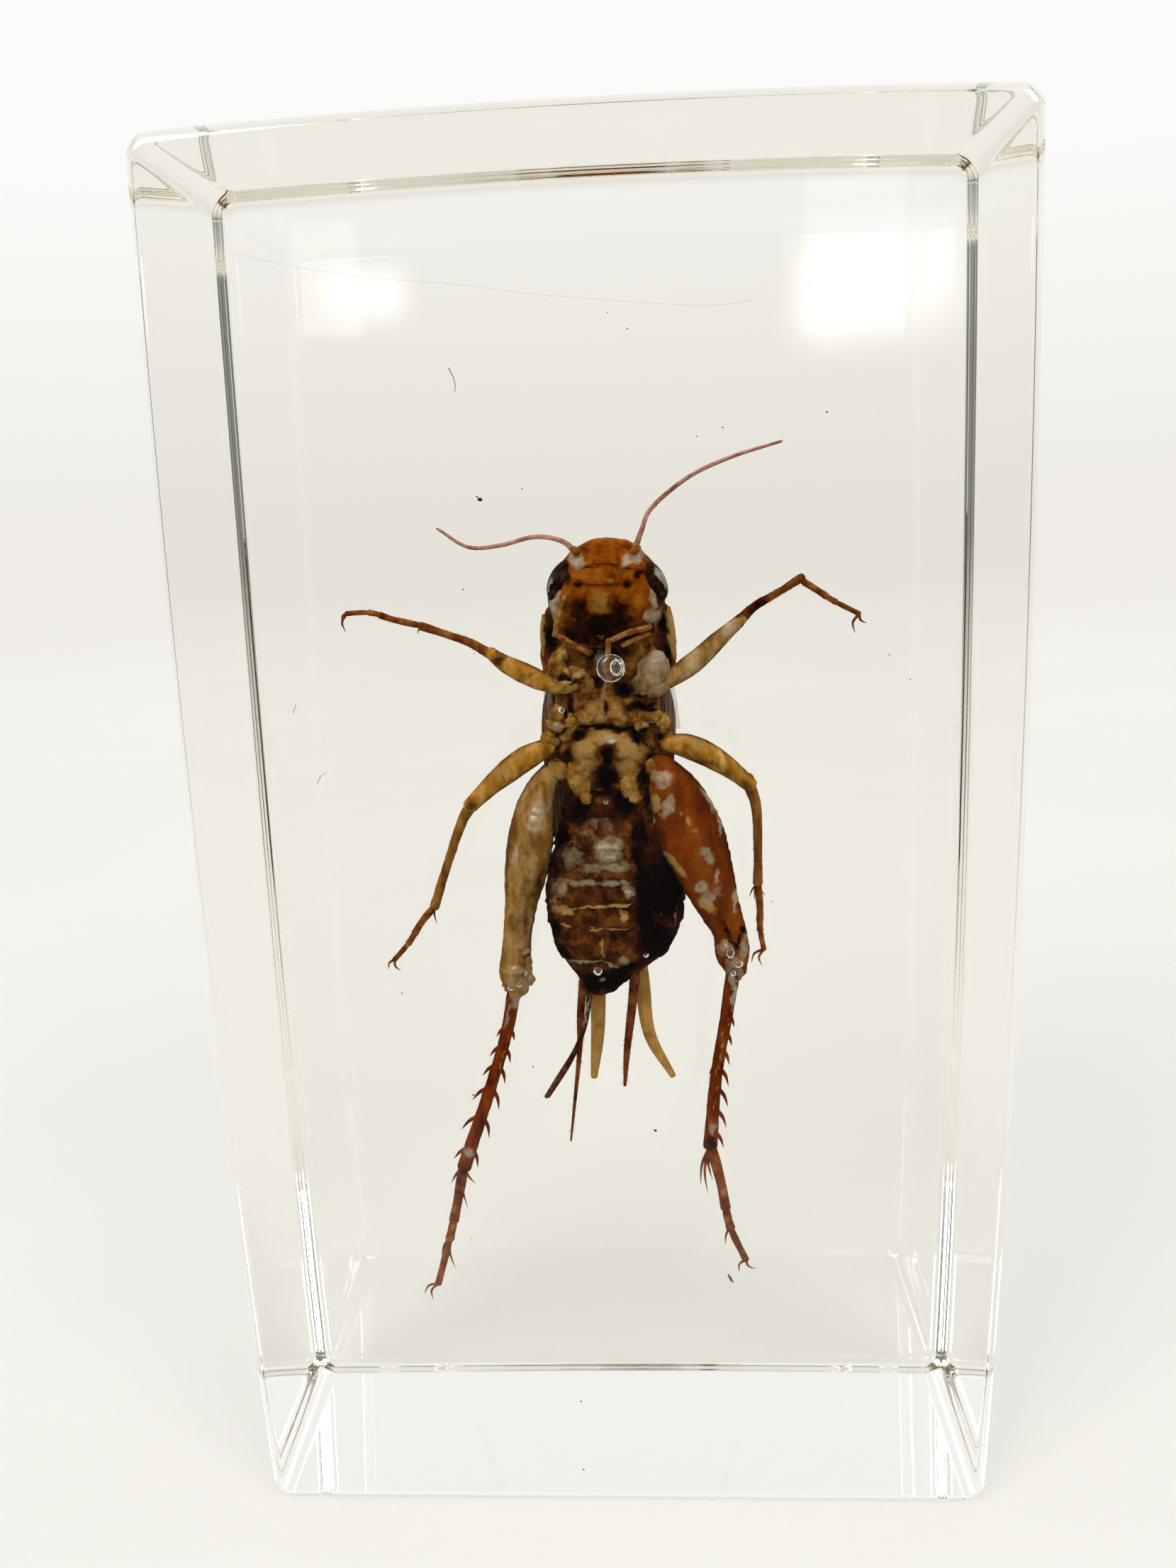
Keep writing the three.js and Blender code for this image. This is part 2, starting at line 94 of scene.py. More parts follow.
def spline(values, t):
    """Catmull-Rom through rows of values, at shares t of the way along them."""
    values = np.asarray(values, float)
    if values.ndim == 1:
        values = values[:, None]
    last = len(values) - 1
    padded = np.vstack([2 * values[0] - values[1], values, 2 * values[-1] - values[-2]])
    place = np.clip(np.asarray(t, float), 0, 1) * last
    i = np.minimum(place.astype(int), last - 1)
    f = (place - i)[:, None]
    a, b, c, d = (padded[i + k] for k in range(4))
    return 0.5 * (
        2 * b + (c - a) * f + (2 * a - 5 * b + 4 * c - d) * f**2 + (3 * b - a - 3 * c + d) * f**3
    )


def lerp_list(values, t):
    values = np.asarray(values, float)
    return np.interp(t, np.linspace(0, 1, len(values)), values)


def nearest_on(path, points, samples=200):
    """A smooth path's sampled places, and the number of the one nearest to each point."""
    line = spline(path, np.linspace(0, 1, samples))
    return line, np.array([np.argmin(((line - p) ** 2).sum(1)) for p in points])


def ragged(points, size, seed=0.0):
    """Smooth noise from -1 to 1 at points in millimetres, with lumps of about `size`."""
    shift = Vector([seed * share for share in SEED_SHIFT])
    return np.array([noise.fractal(Vector(p) / size + shift, *NOISE_LAYERS) for p in points])


def ellipse_distance(x, z, px, pz, width, height, tilt):
    """How far out places lie in a tilted ellipse, which is 1 on its outline."""
    c, s = math.cos(math.radians(tilt)), math.sin(math.radians(tilt))
    u = ((x - px) * c + (z - pz) * s) / width
    v = (-(x - px) * s + (z - pz) * c) / height
    return np.sqrt(u * u + v * v)


class Shape:
    """Vertices in millimetres, faces, and for each vertex how silvery, dark and pale it is."""

    def __init__(self):
        self.points = np.zeros((0, 3))
        self.faces = []
        self.marks = dict(NO_MARKS)
        self.wandered = np.zeros((0, 2))

    def add(self, points, faces, **marks):
        start = len(self.points)
        points = np.asarray(points, float)
        self.points = np.vstack([self.points, points])
        self.faces += [tuple(start + i for i in face) for face in faces]
        for name in self.marks:
            value = marks.get(name, 0.0)
            column = np.broadcast_to(np.asarray(value, float), (len(points),))
            self.marks[name] = np.concatenate([self.marks[name], column])
        return self

    def join(self, other):
        return self.add(other.points, other.faces, **other.marks)

    def wander(self):
        """Each vertex's x and z, shifted a little, so that marks get uneven outlines."""
        if len(self.wandered) != len(self.points):
            shift = [ragged(self.points, MARK_LUMPS, seed) for seed in (3, 4)]
            self.wandered = self.points[:, [0, 2]] + MARK_WANDER * np.stack(shift, 1)
        return self.wandered.T

    def mark(self, **tables):
        """Raise marks inside soft ellipses (x, z, half width, half height, tilt, strength)."""
        x, z = self.wander()
        for name, patches in tables.items():
            for patch in patches:
                strength = patch[5] if len(patch) > 5 else 1
                distance = ellipse_distance(x, z, *patch[:5])
                inside = np.clip(MARK_REACH - distance, 0, 1) * strength
                self.marks[name] = np.maximum(self.marks[name], inside)
        return self

    def emboss(self, bumps):
        """Raise the front by soft bumps (x, z, half width, half height, tilt, rise)."""
        x, z = self.points[:, 0], self.points[:, 2]
        facing = np.clip(-self.normals()[:, 1] * BUMP_FACING, 0, 1)
        push = np.zeros(len(x))
        for *ellipse, rise in bumps:
            push += rise / (1 + np.exp((ellipse_distance(x, z, *ellipse) - 1) * BUMP_EDGE))
        self.points[:, 1] -= push * facing
        return self

    def normals(self):
        mesh = bpy.data.meshes.new("scratch")
        mesh.from_pydata(self.points.tolist(), [], self.faces)
        mesh.update()
        out = np.zeros(len(mesh.vertices) * 3)
        mesh.vertex_normals.foreach_get("vector", out)
        bpy.data.meshes.remove(mesh)
        return out.reshape(-1, 3)

    def roughen(self, amount, size, seed=0.0):
        """Small natural unevenness along the normals."""
        lumps = ragged(self.points, size, seed)
        self.points = self.points + self.normals() * (amount * lumps)[:, None]
        return self


def bands(rings, sides):
    """Faces that join each ring of `sides` vertices to the next."""
    faces = []
    for start in range(0, (rings - 1) * sides, sides):
        for i in range(sides):
            a, b = start + i, start + (i + 1) % sides
            faces.append((a, b, b + sides, a + sides))
    return faces


def skin(rings):
    """Points and faces of a closed skin over rings, with a pole at each end."""
    rings = np.asarray(rings, float)
    sides = rings.shape[1]
    points = rings.reshape(-1, 3).tolist()
    faces = bands(len(rings), sides)
    last = (len(rings) - 1) * sides
    points += [rings[0].mean(0).tolist(), rings[-1].mean(0).tolist()]
    first_pole, last_pole = len(points) - 2, len(points) - 1
    for i in range(sides):
        j = (i + 1) % sides
        faces += [(first_pole, j, i), (last_pole, last + i, last + j)]
    return points, faces


def rounded(limb, dome):
    """A limb's centres, tangents, half thicknesses and flatness, with a dome at each end."""
    caps = []
    for end, way, turns in ((0, -1, DOME_TURNS[::-1]), (-1, 1, DOME_TURNS)):
        centre, tangent, thick, flat = (rows[end] for rows in limb)
        reach = way * tangent * thick * dome
        cap = [(centre + reach * math.sin(a), tangent, thick * math.cos(a), flat) for a in turns]
        caps.append([np.array(rows) for rows in zip(*cap)])
    return [np.concatenate(rows) for rows in zip(caps[0], limb, caps[1])]


def tube(path, radii, depth=1.0, sides=18, spacing=0.12, dome=0.7, edge=0.0, **marks):
    """A limb along path with rounded ends, flattened front to back by `depth`.

    `edge` paints shade as two dark lines down its sides, where it turns away from the front.
    """
    path = np.asarray(path, float)
    length = np.linalg.norm(np.diff(path, axis=0), axis=1).sum()
    steps = max(4, int(length / spacing))
    t = np.linspace(0, 1, steps + 1)
    centres = spline(path, t)
    tangents = np.gradient(centres, axis=0)
    tangents /= np.linalg.norm(tangents, axis=1)[:, None]
    thick = np.maximum(spline(radii, t)[:, 0], THINNEST) if len(radii) > 2 else lerp_list(radii, t)
    flat = lerp_list(np.atleast_1d(depth), t)
    if dome:
        centres, tangents, thick, flat = rounded([centres, tangents, thick, flat], dome)
    side = np.cross([0.0, 1.0, 0.0], tangents)
    side /= np.maximum(np.linalg.norm(side, axis=1), 1e-9)[:, None]
    deep = np.cross(tangents, side)
    angle = np.linspace(0, 2 * math.pi, sides, endpoint=False)
    rings = (
        centres[:, None, :]
        + (thick[:, None] * np.cos(angle))[:, :, None] * side[:, None, :]
        + (thick[:, None] * flat[:, None] * np.sin(angle))[:, :, None] * deep[:, None, :]
    )
    shape = Shape().add(*skin(rings), **marks)
    # Painted shade: dark lines down both sides of the limb, where it turns away from the front.
    if edge:
        side_shade = np.tile(edge * np.abs(np.cos(angle)) ** SIDE_SHADE_NARROWNESS, len(rings))
        dark = shape.marks["dark"][: len(side_shade)]
        np.maximum(dark, side_shade, out=dark)
    return shape


def spike(root, tip, thickness, bend=0.0, sides=7):
    """A curved spine or claw that thins to a point."""
    root, tip = np.asarray(root, float), np.asarray(tip, float)
    across = np.cross([0.0, 1.0, 0.0], tip - root)
    middle = (root + tip) / 2 + across * bend
    radii = [thickness, thickness * 0.75, THINNEST]
    return tube([root, middle, tip], radii, sides=sides, spacing=0.08, dome=0)


def loft(sections, sides, spacing):
    """A body part through [z, middle x, half width, depth to front, depth to back] sections."""
    sections = np.asarray(sections, float)
    top, foot = sections[0, 0], sections[-1, 0]
    steps = int((top - foot) / spacing)
    heights = np.linspace(top, foot, steps + 1)
    at = np.interp(heights, sections[::-1, 0], np.arange(len(sections))[::-1].astype(float))
    rows = spline(sections[:, 1:], at / (len(sections) - 1))
    angle = np.linspace(0, 2 * math.pi, sides, endpoint=False)
    c, s = np.cos(angle), np.sin(angle)
    reach = np.where(s < 0, rows[:, 2:3], rows[:, 3:4])
    rings = np.stack(
        [rows[:, 0:1] + rows[:, 1:2] * c, reach * s, np.repeat(heights[:, None], sides, 1)], 2
    )
    return Shape().add(*skin(rings[::-1]))


def ball(centre, radii, tilt=0.0, rings=16, sides=24, **marks):
    """An ellipsoid, tilted by degrees in the front view."""
    theta = np.linspace(POLE_GAP, math.pi - POLE_GAP, rings)
    phi = np.linspace(0, 2 * math.pi, sides, endpoint=False)
    ring = np.stack(
        [
            np.sin(theta)[:, None] * np.cos(phi),
            np.sin(theta)[:, None] * np.sin(phi),
            np.repeat(-np.cos(theta)[:, None], sides, 1),
        ],
        2,
    ) * np.asarray(radii, float)
    tilted = np.array(Matrix.Rotation(math.radians(tilt), 3, "Y"))
    return Shape().add(*skin(ring @ tilted.T + np.asarray(centre, float)), **marks)


def balls(rows, rings, sides, **marks):
    """Several ellipsoids in one shape, each given as centre, half sizes and perhaps tilt."""
    shape = Shape()
    for row in rows:
        shape.join(ball(*row, rings=rings, sides=sides, **marks))
    return shape


def piece(name, shape, material, replaces=()):
    """The shape as a smooth Blender object in metres that rides on the part."""
    mesh = bpy.data.meshes.new(name)
    mesh.from_pydata((shape.points * MM).tolist(), [], shape.faces)
    mesh.shade_smooth()
    for mark, values in shape.marks.items():
        if values.any():
            layer = mesh.attributes.new(mark, "FLOAT", "POINT")
            layer.data.foreach_set("value", values.astype(np.float32))
    mesh.update()
    mesh.materials.append(material)
    made = bpy.data.objects.new(name, mesh)
    bpy.context.scene.collection.objects.link(made)
    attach(made, BODY)
    if replaces:
        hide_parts(*replaces)


def cricket_piece(name, shape, material):
    piece(name, shape, material, ["cricket"])


# ------------------------------------------------------------------ materials
RESIN_IOR = 1.54
RESIN_TINT = (0.96, 0.94, 0.845, 1.0)
RESIN_DENSITY = 14.0
RESIN_COLOUR = (1.0, 0.998, 0.99, 1.0)
POLISH_WAVES, WAVE_STRENGTH, WAVE_DEPTH = 0.12, 0.25, 0.05
WEAR_STRETCH = (0.3, 1, 2.2)
WEAR_NOISE = (2.0, 6.0, 0.75)  # scale, detail and roughness, as in the other noises here
WEAR_RANGE, WORN_ROUGHNESS = (0.6, 0.85), 0.03
BUBBLE_COLOUR, BUBBLE_ROUGHNESS = (0.97, 0.97, 0.95, 1), 0.02
MOTTLE_SCALE, MOTTLE_STRENGTH, MOTTLE_DEPTH = 3.0, 0.15, 0.02
SKIN_IN_RESIN = 1.03  # how strongly skin bends light next to the resin round it
STAIN_AND_SHADE_BLACK = (10, 3, 1)
STAIN_AND_SHADE_BROWN = (56, 16, 3)
OCHRE = (176, 138, 78)
FILM = (178, 164, 142)
NOISE_RANGE = (0.3, 0.7)  # most values of a noise lie between these
FRAY = 1.3  # how much noise frays the edges of marks
STAIN_AND_SHADE_FRAY, STAIN_AND_SHADE_EDGE = 0.5, (0.1, 0.6)  # a dark mark's rim is brown, its middle black; dark marks are stains and also painted shade
DARK_FRAY, DARK_EDGE = 0.7, (0.4, 0.85)
STAIN_AND_SHADE_SHARE = 0.85  # how much of the skin's own tone the brown rim of a dark mark hides
BLOTCH_RANGE = (0.32, 0.68)
FRECKLES = [(0.3, (0.72, 0.67, 0.6, 1)), (0.7, (1.1, 1.08, 1.05, 1))]
FRECKLE_SHARE, PALE_FRECKLES = 0.75, 0.6
FILM_THIN = 0.6  # how much skin shows through where a film is thin
THINNING = (0.35, 0.65)  # noise values between which a film gets thin
FILM_METAL, FILM_ROUGHNESS = 0.35, 0.28
FINE_SCALE, FRAY_SCALE, PIT_SCALE = 6.0, 2.2, 5.0  # how many to a millimetre
PIT_DEPTH = 0.08
VEIN_STRETCH, VEIN_RANGE = (1.0, 0.6, 0.18), (0.62, 0.95)
VEIN_LINES = {"Scale": 1.6, "Distortion": 2.5, "Detail": 3.0, "Detail Scale": 1.2}
VEIN_STRENGTH, VEIN_DEPTH = 0.5, 0.06
WING_BLOTCHES, WING_BLOTCH_RANGE, WING_BLOTCH_SHARE = 1.3, (0.3, 0.75), 0.75
WING_ROUGHNESS, WING_GLOSS = (0.3, 0.5), 0.25
GLOW_DEPTH = 0.35
GLOW_COLOUR = (1.0, 0.6, 0.22)


def srgb(red, green, blue):
    """A colour given as 0 to 255 screen values, in Blender's linear values."""
    values = [c / 255 for c in (red, green, blue)]
    linear = [c / 12.92 if c <= 0.04045 else ((c + 0.055) / 1.055) ** 2.4 for c in values]
    return (*linear, 1.0)


def node(tree, kind, inputs=None, **settings):
    """A shader node with its settings, and with values or links on its inputs."""
    made = tree.nodes.new(kind)
    for key, value in settings.items():
        setattr(made, key, value)
    for key, value in (inputs or {}).items():
        if isinstance(value, bpy.types.NodeSocket):
            tree.links.new(value, made.inputs[key])
        else:
            made.inputs[key].default_value = value
    return made


def blank(name):
    """A new, empty node material."""
    material = bpy.data.materials.new(name)
    material.use_nodes = True
    material.node_tree.nodes.clear()
    return material, material.node_tree


def shade(tree, kind, inputs, **outputs):
    """Put a shader of this kind on the surface; `outputs` may add what fills the solid."""
    outputs["Surface"] = node(tree, kind, inputs).outputs[0]
    node(tree, "ShaderNodeOutputMaterial", outputs)


def millimetres(tree, stretch=(1, 1, 1)):
    """Object coordinates in millimetres."""
    place = node(tree, "ShaderNodeTexCoord").outputs["Object"]
    scale = tuple(s / MM for s in stretch)
    return node(tree, "ShaderNodeVectorMath", {0: place, 1: scale}, operation="MULTIPLY").outputs[0]


def maths(tree, operation, *values):
    return node(tree, "ShaderNodeMath", dict(enumerate(values)), operation=operation).outputs[0]


def noise_of(tree, place, scale, detail=4.0, roughness=0.6):
    inputs = {"Vector": place, "Scale": scale, "Detail": detail, "Roughness": roughness}
    return node(tree, "ShaderNodeTexNoise", inputs).outputs["Fac"]


def bump_of(tree, height, strength, distance):
    """Normals bent by a height, with its distance in millimetres."""
    inputs = {"Height": height, "Strength": strength, "Distance": distance * MM}
    return node(tree, "ShaderNodeBump", inputs).outputs[0]


def ramp(tree, factor, stops):
    made = node(tree, "ShaderNodeValToRGB", {"Fac": factor})
    elements = made.color_ramp.elements
    elements[0].position, elements[0].color = stops[0]
    elements[1].position, elements[1].color = stops[-1]
    for position, colour in stops[1:-1]:
        elements.new(position).color = colour
    return made.outputs["Color"]


def remap(tree, value, low, high, to_low=0.0, to_high=1.0, curve="LINEAR"):
    inputs = {0: value, 1: low, 2: high, 3: to_low, 4: to_high}
    return node(tree, "ShaderNodeMapRange", inputs, interpolation_type=curve).outputs[0]


def mix(tree, factor, a, b, blend="MIX"):
    inputs = {0: factor, 6: a, 7: b}
    return node(tree, "ShaderNodeMix", inputs, data_type="RGBA", blend_type=blend).outputs[2]


def blend_values(tree, factor, a, b):
    inputs = {0: factor, 2: a, 3: b}
    return node(tree, "ShaderNodeMix", inputs, data_type="FLOAT").outputs[0]


def mark_factor(tree, name, breakup, amount, low=0.25, high=0.75):
    """How far a mark covers, its edges frayed by noise."""
    raw = node(tree, "ShaderNodeAttribute", attribute_name=name).outputs["Fac"]
    frayed = maths(tree, "MULTIPLY_ADD", breakup, amount, -0.5 * amount)
    return remap(tree, maths(tree, "ADD", raw, frayed), low, high)


def chitin(
    name,
    tones,
    patch=0.9,
    rough=(0.3, 0.55),
    relief=0.35,
    glow=0.25,
    pale=OCHRE,
    dark=STAIN_AND_SHADE_BLACK,
    film=FILM,
    stretch=(1, 1, 1),
):
    """Dry insect skin: blotched tones, fine pits, and the given marks over them."""
    material, tree = blank(name)
    grain = millimetres(tree, stretch)
    blotches = noise_of(tree, grain, 1 / patch, 3.0, 0.6)
    fine = noise_of(tree, grain, FINE_SCALE, 4.0, 0.7)
    frays = noise_of(tree, millimetres(tree), FRAY_SCALE, 3.0, 0.6)
    steps = np.linspace(*BLOTCH_RANGE, len(tones))
    colour = ramp(tree, blotches, [(step, srgb(*tone)) for step, tone in zip(steps, tones)])
    freckles = ramp(tree, fine, FRECKLES)
    colour = mix(tree, FRECKLE_SHARE, colour, freckles, "MULTIPLY")
    pale_share = mark_factor(tree, "pale", frays, FRAY)
    # Dark marks are stains and also painted shade in creases, gaps and down limb sides; each gets a
    # brown rim and a black middle.
    stain_and_shade_share = mark_factor(tree, "dark", frays, STAIN_AND_SHADE_FRAY * FRAY, *STAIN_AND_SHADE_EDGE)
    dark_share = mark_factor(tree, "dark", frays, DARK_FRAY * FRAY, *DARK_EDGE)
    film_share = mark_factor(tree, "silver", frays, FRAY)
    pale_tone = mix(tree, PALE_FRECKLES, srgb(*pale), freckles, "MULTIPLY")
    colour = mix(tree, pale_share, colour, pale_tone)
    colour = mix(tree, stain_and_shade_share, colour, mix(tree, STAIN_AND_SHADE_SHARE, colour, srgb(*STAIN_AND_SHADE_BROWN)))
    colour = mix(tree, dark_share, colour, srgb(*dark))
    thin_film = mix(tree, FILM_THIN, srgb(*film), colour)
    film_tone = mix(tree, remap(tree, frays, *THINNING), srgb(*film), thin_film)
    roughness = remap(tree, fine, *NOISE_RANGE, *rough)
    pits = {"Vector": grain, "Scale": PIT_SCALE}
    pits = node(tree, "ShaderNodeTexVoronoi", pits, feature="SMOOTH_F1").outputs["Distance"]
    shader = {
        "Base Color": mix(tree, film_share, colour, film_tone),
        "Roughness": blend_values(tree, film_share, roughness, FILM_ROUGHNESS),
        "Metallic": maths(tree, "MULTIPLY", film_share, FILM_METAL),
        "Normal": bump_of(tree, maths(tree, "ADD", fine, pits), relief, PIT_DEPTH),
        "IOR": SKIN_IN_RESIN,
        "Subsurface Weight": glow,
        "Subsurface Radius": GLOW_COLOUR,
        "Subsurface Scale": GLOW_DEPTH * MM,
    }
    shade(tree, "ShaderNodeBsdfPrincipled", shader)
    return material


def clear_resin():
    """Cast resin: clear, faintly warm in thick places, its polish very slightly wavy."""
    material, tree = blank("clear_resin")
    waves = noise_of(tree, millimetres(tree), POLISH_WAVES, 2.0, 0.4)
    wear = noise_of(tree, millimetres(tree, WEAR_STRETCH), *WEAR_NOISE)
    shader = {
        "Base Color": RESIN_COLOUR,
        "Roughness": remap(tree, wear, *WEAR_RANGE, 0.0, WORN_ROUGHNESS),
        "IOR": RESIN_IOR,
        "Transmission Weight": 1.0,
        "Normal": bump_of(tree, waves, WAVE_STRENGTH, WAVE_DEPTH),
    }
    tint = {"Color": RESIN_TINT, "Density": RESIN_DENSITY}
    inside = node(tree, "ShaderNodeVolumeAbsorption", tint).outputs[0]
    shade(tree, "ShaderNodeBsdfPrincipled", shader, Volume=inside)
    return material


def air():
    """The inside of a bubble: light leaves the resin for air."""
    material, tree = blank("air_bubble")
    mottle = noise_of(tree, millimetres(tree), MOTTLE_SCALE)
    shader = {
        "Color": BUBBLE_COLOUR,
        "Roughness": BUBBLE_ROUGHNESS,
        "IOR": 1 / RESIN_IOR,
        "Normal": bump_of(tree, mottle, MOTTLE_STRENGTH, MOTTLE_DEPTH),
    }
    shade(tree, "ShaderNodeBsdfGlass", shader)
    return material


def wing_skin(name, colour, veins, density=0.55, clear=0.0, streaks=1.0):
    """A dry wing: thin, partly see-through, with darker veins running down it."""
    material, tree = blank(name)
    veins = srgb(*veins)
    lines = {"Vector": millimetres(tree, VEIN_STRETCH), **VEIN_LINES}
    lines = node(tree, "ShaderNodeTexWave", lines, bands_direction="X").outputs["Fac"]
    blotches = noise_of(tree, millimetres(tree), WING_BLOTCHES, 5.0)
    streak_share = remap(tree, lines, *VEIN_RANGE, 0.0, streaks)
    blotch_share = remap(tree, blotches, *WING_BLOTCH_RANGE, 0.0, WING_BLOTCH_SHARE)
    tone = mix(tree, streak_share, srgb(*colour), veins)
    tone = mix(tree, blotch_share, tone, veins)
    bump = bump_of(tree, lines, VEIN_STRENGTH * streaks, VEIN_DEPTH)
    solid = {
        "Base Color": tone,
        "Roughness": remap(tree, blotches, *NOISE_RANGE, *WING_ROUGHNESS),
        "Normal": bump,
        "Specular IOR Level": WING_GLOSS,
    }
    solid = node(tree, "ShaderNodeBsdfPrincipled", solid).outputs[0]
    through = node(tree, "ShaderNodeBsdfTranslucent", {"Color": tone, "Normal": bump}).outputs[0]
    open_skin = node(tree, "ShaderNodeBsdfTransparent").outputs[0]
    both = node(tree, "ShaderNodeMixShader", {0: 1 - density, 1: solid, 2: through}).outputs[0]
    shade(tree, "ShaderNodeMixShader", {0: clear, 1: both, 2: open_skin})
    return material


# ------------------------------------------------------------- the clear block
BLOCK_WIDTH = 41
BLOCK_DEPTH = 21
BLOCK_HEIGHT = 73
SIDE_BOW = 0.6
TOP_BOW = 0.4
EDGE_RADIUS = 0.8
CORNER_RADIUS = 1.2
CORNER_STEPS = 14
WALL_STEPS = 44
EDGE_STEPS = 18
TRUE_WALL = 0.04  # a narrow strip round each flat face that keeps its shading true


def block_outline(inset):
    """The block from the front, clockwise from the foot's left corner, as x, z rows."""
    radius = CORNER_RADIUS - inset
    x, low, high = BLOCK_WIDTH / 2 - CORNER_RADIUS, CORNER_RADIUS, BLOCK_HEIGHT - CORNER_RADIUS
    walls = [
        ((-x, low), 270, (-1, 0), SIDE_BOW),
        ((-x, high), 180, (0, 1), TOP_BOW),
        ((x, high), 90, (1, 0), SIDE_BOW),
        ((x, low), 0, (0, -1), 0),
    ]
    arcs = []
    for corner, start, _, _ in walls:
        turns = np.radians(start - 90 * np.arange(CORNER_STEPS + 1) / CORNER_STEPS)
        arcs.append(np.stack([np.cos(turns), np.sin(turns)], 1) * radius + corner)
    rows = []
    for side, (_, _, outward, bow) in enumerate(walls):
        start, end = arcs[side][-1], arcs[(side + 1) % 4][0]
        t = np.linspace(0, 1, WALL_STEPS + 1)[1:-1]
        ends = TRUE_WALL / np.linalg.norm(end - start)
        t = np.concatenate([[ends], t, [1 - ends]])
        swell = bow * (1 - (2 * t - 1) ** 2)
        rows += [arcs[side], start + (end - start) * t[:, None] + swell[:, None] * outward]
    return np.vstack(rows)


def resin_block():
    """One clear solid for both cast halves, its front and back flat inside rounded edges."""
    half = BLOCK_DEPTH / 2
    levels = [(half - EDGE_RADIUS - TRUE_WALL, 0.0)]
    for step in range(EDGE_STEPS + 1):
        turn = math.pi / 2 * step / EDGE_STEPS
        depth = half - EDGE_RADIUS * (1 - math.sin(turn))
        levels.append((depth, EDGE_RADIUS * (1 - math.cos(turn))))
    levels.append((half, EDGE_RADIUS + TRUE_WALL))
    levels = [(-y, inset) for y, inset in reversed(levels)] + levels
    rings = []
    for y, inset in levels:
        outline = block_outline(inset)
        rings.append(np.stack([outline[:, 0], np.full(len(outline), y), outline[:, 1]], 1))
    count = len(rings[0])
    last = (len(rings) - 1) * count
    faces = bands(len(rings), count)
    faces += [tuple(range(count - 1, -1, -1)), tuple(range(last, last + count))]
    shape = Shape().add(np.vstack(rings), faces)
    piece("resin_block", shape, clear_resin(), ["resin_front", "resin_back"])


# ------------------------------------------------------------ the cricket's body
# Sections are [z, middle x, half width, depth to the front, depth to the back].
HEAD = [
    [54.12, 0.5, 0.15, 0.2, 0.15], [54.0, 0.55, 0.95, 0.9, 0.5], [53.6, 0.5, 1.75, 1.6, 1.2],
    [52.6, 0.5, 2.6, 2.35, 1.9], [51.3, 0.45, 3.1, 2.65, 2.3], [50.0, 0.45, 2.95, 2.6, 2.3],
    [48.8, 0.4, 2.35, 2.2, 2.0], [48.4, 0.4, 1.7, 1.6, 1.4],
]
PRONOTUM = [
    [50.8, 0.45, 2.9, 0.1, 2.2], [50.4, 0.45, 3.3, 0.4, 2.6], [49.3, 0.45, 3.6, 0.6, 2.8],
    [47.8, 0.45, 3.65, 0.7, 2.9], [46.4, 0.4, 3.4, 0.5, 2.8], [46.1, 0.35, 3.0, 0.3, 2.6],
]
THORAX = [
    [49.8, 0.4, 2.0, 1.7, 1.6], [48.0, 0.35, 2.7, 1.9, 2.2], [46.0, 0.3, 2.8, 2.1, 2.3],
    [44.0, 0.3, 3.1, 2.35, 2.4], [42.4, 0.3, 3.2, 2.25, 2.4], [40.9, 0.3, 2.7, 1.7, 2.2],
    [40.6, 0.3, 2.2, 1.4, 1.9],
]
FORE_WINGS = [
    [47.2, 0.35, 3.0, -0.6, 2.75], [45.0, 0.35, 3.6, 0.1, 2.95], [42.5, 0.3, 3.6, 0.1, 3.0],
    [38.0, 0.3, 3.2, -0.6, 2.95], [34.5, 0.3, 2.6, -1.2, 2.8], [32.6, 0.25, 1.6, -1.6, 2.55],
    [32.4, 0.2, 0.9, -1.9, 2.4],
]
ABDOMEN = [
    [41.6, 0.3, 1.9, 1.2, 1.7], [39.5, 0.3, 2.6, 1.75, 2.1], [37.6, 0.35, 3.2, 2.05, 2.3],
    [35.9, 0.4, 3.8, 2.25, 2.4], [34.1, 0.4, 3.9, 2.25, 2.4], [32.6, 0.35, 3.7, 2.1, 2.2],
    [31.0, 0.15, 3.0, 1.7, 1.8], [29.8, -0.2, 1.8, 1.2, 1.2], [28.7, -0.6, 0.75, 0.6, 0.6],
    [28.5, -0.7, 0.3, 0.3, 0.3],
]
PLATE_ENDS = [39.2, 37.4, 35.75, 34.05, 32.9, 30.8]

# Marks are soft ellipses: x, z, half width, half height, tilt in degrees and, where it
# isn't 1, strength. Reliefs have how far they rise instead.
FACE_RELIEF = [
    (0.45, 53.3, 1.2, 0.5, 0, 0.12), (0.4, 52.05, 1.75, 0.3, 0, 0.14),
    (0.1, 50.85, 0.75, 0.75, 0, 0.26), (0.05, 50.1, 0.4, 0.4, 0, 0.1),
    (-1.3, 51.1, 0.6, 0.95, -18, 0.2), (2.0, 50.6, 0.65, 1.15, 8, 0.2),
    (-2.25, 50.9, 0.35, 0.9, -8, 0.12), (3.0, 50.4, 0.4, 1.0, 8, 0.12),
    (0.12, 49.4, 0.5, 0.6, 0, -0.55), (-0.72, 50.7, 0.14, 0.9, -22, -0.22),
    (1.1, 50.4, 0.14, 1.0, 14, -0.22), (-1.54, 52.2, 0.22, 0.2, 0, -0.14),
    (2.26, 52.2, 0.25, 0.22, 0, -0.14), (-0.9, 51.9, 0.24, 0.16, -20, -0.12),
    (1.6, 51.75, 0.24, 0.18, 20, -0.12), (-0.45, 52.68, 0.85, 0.07, 9, -0.12),
    (1.25, 52.62, 0.8, 0.07, -15, -0.12), (0.4, 51.72, 1.0, 0.08, 0, -0.1),
]
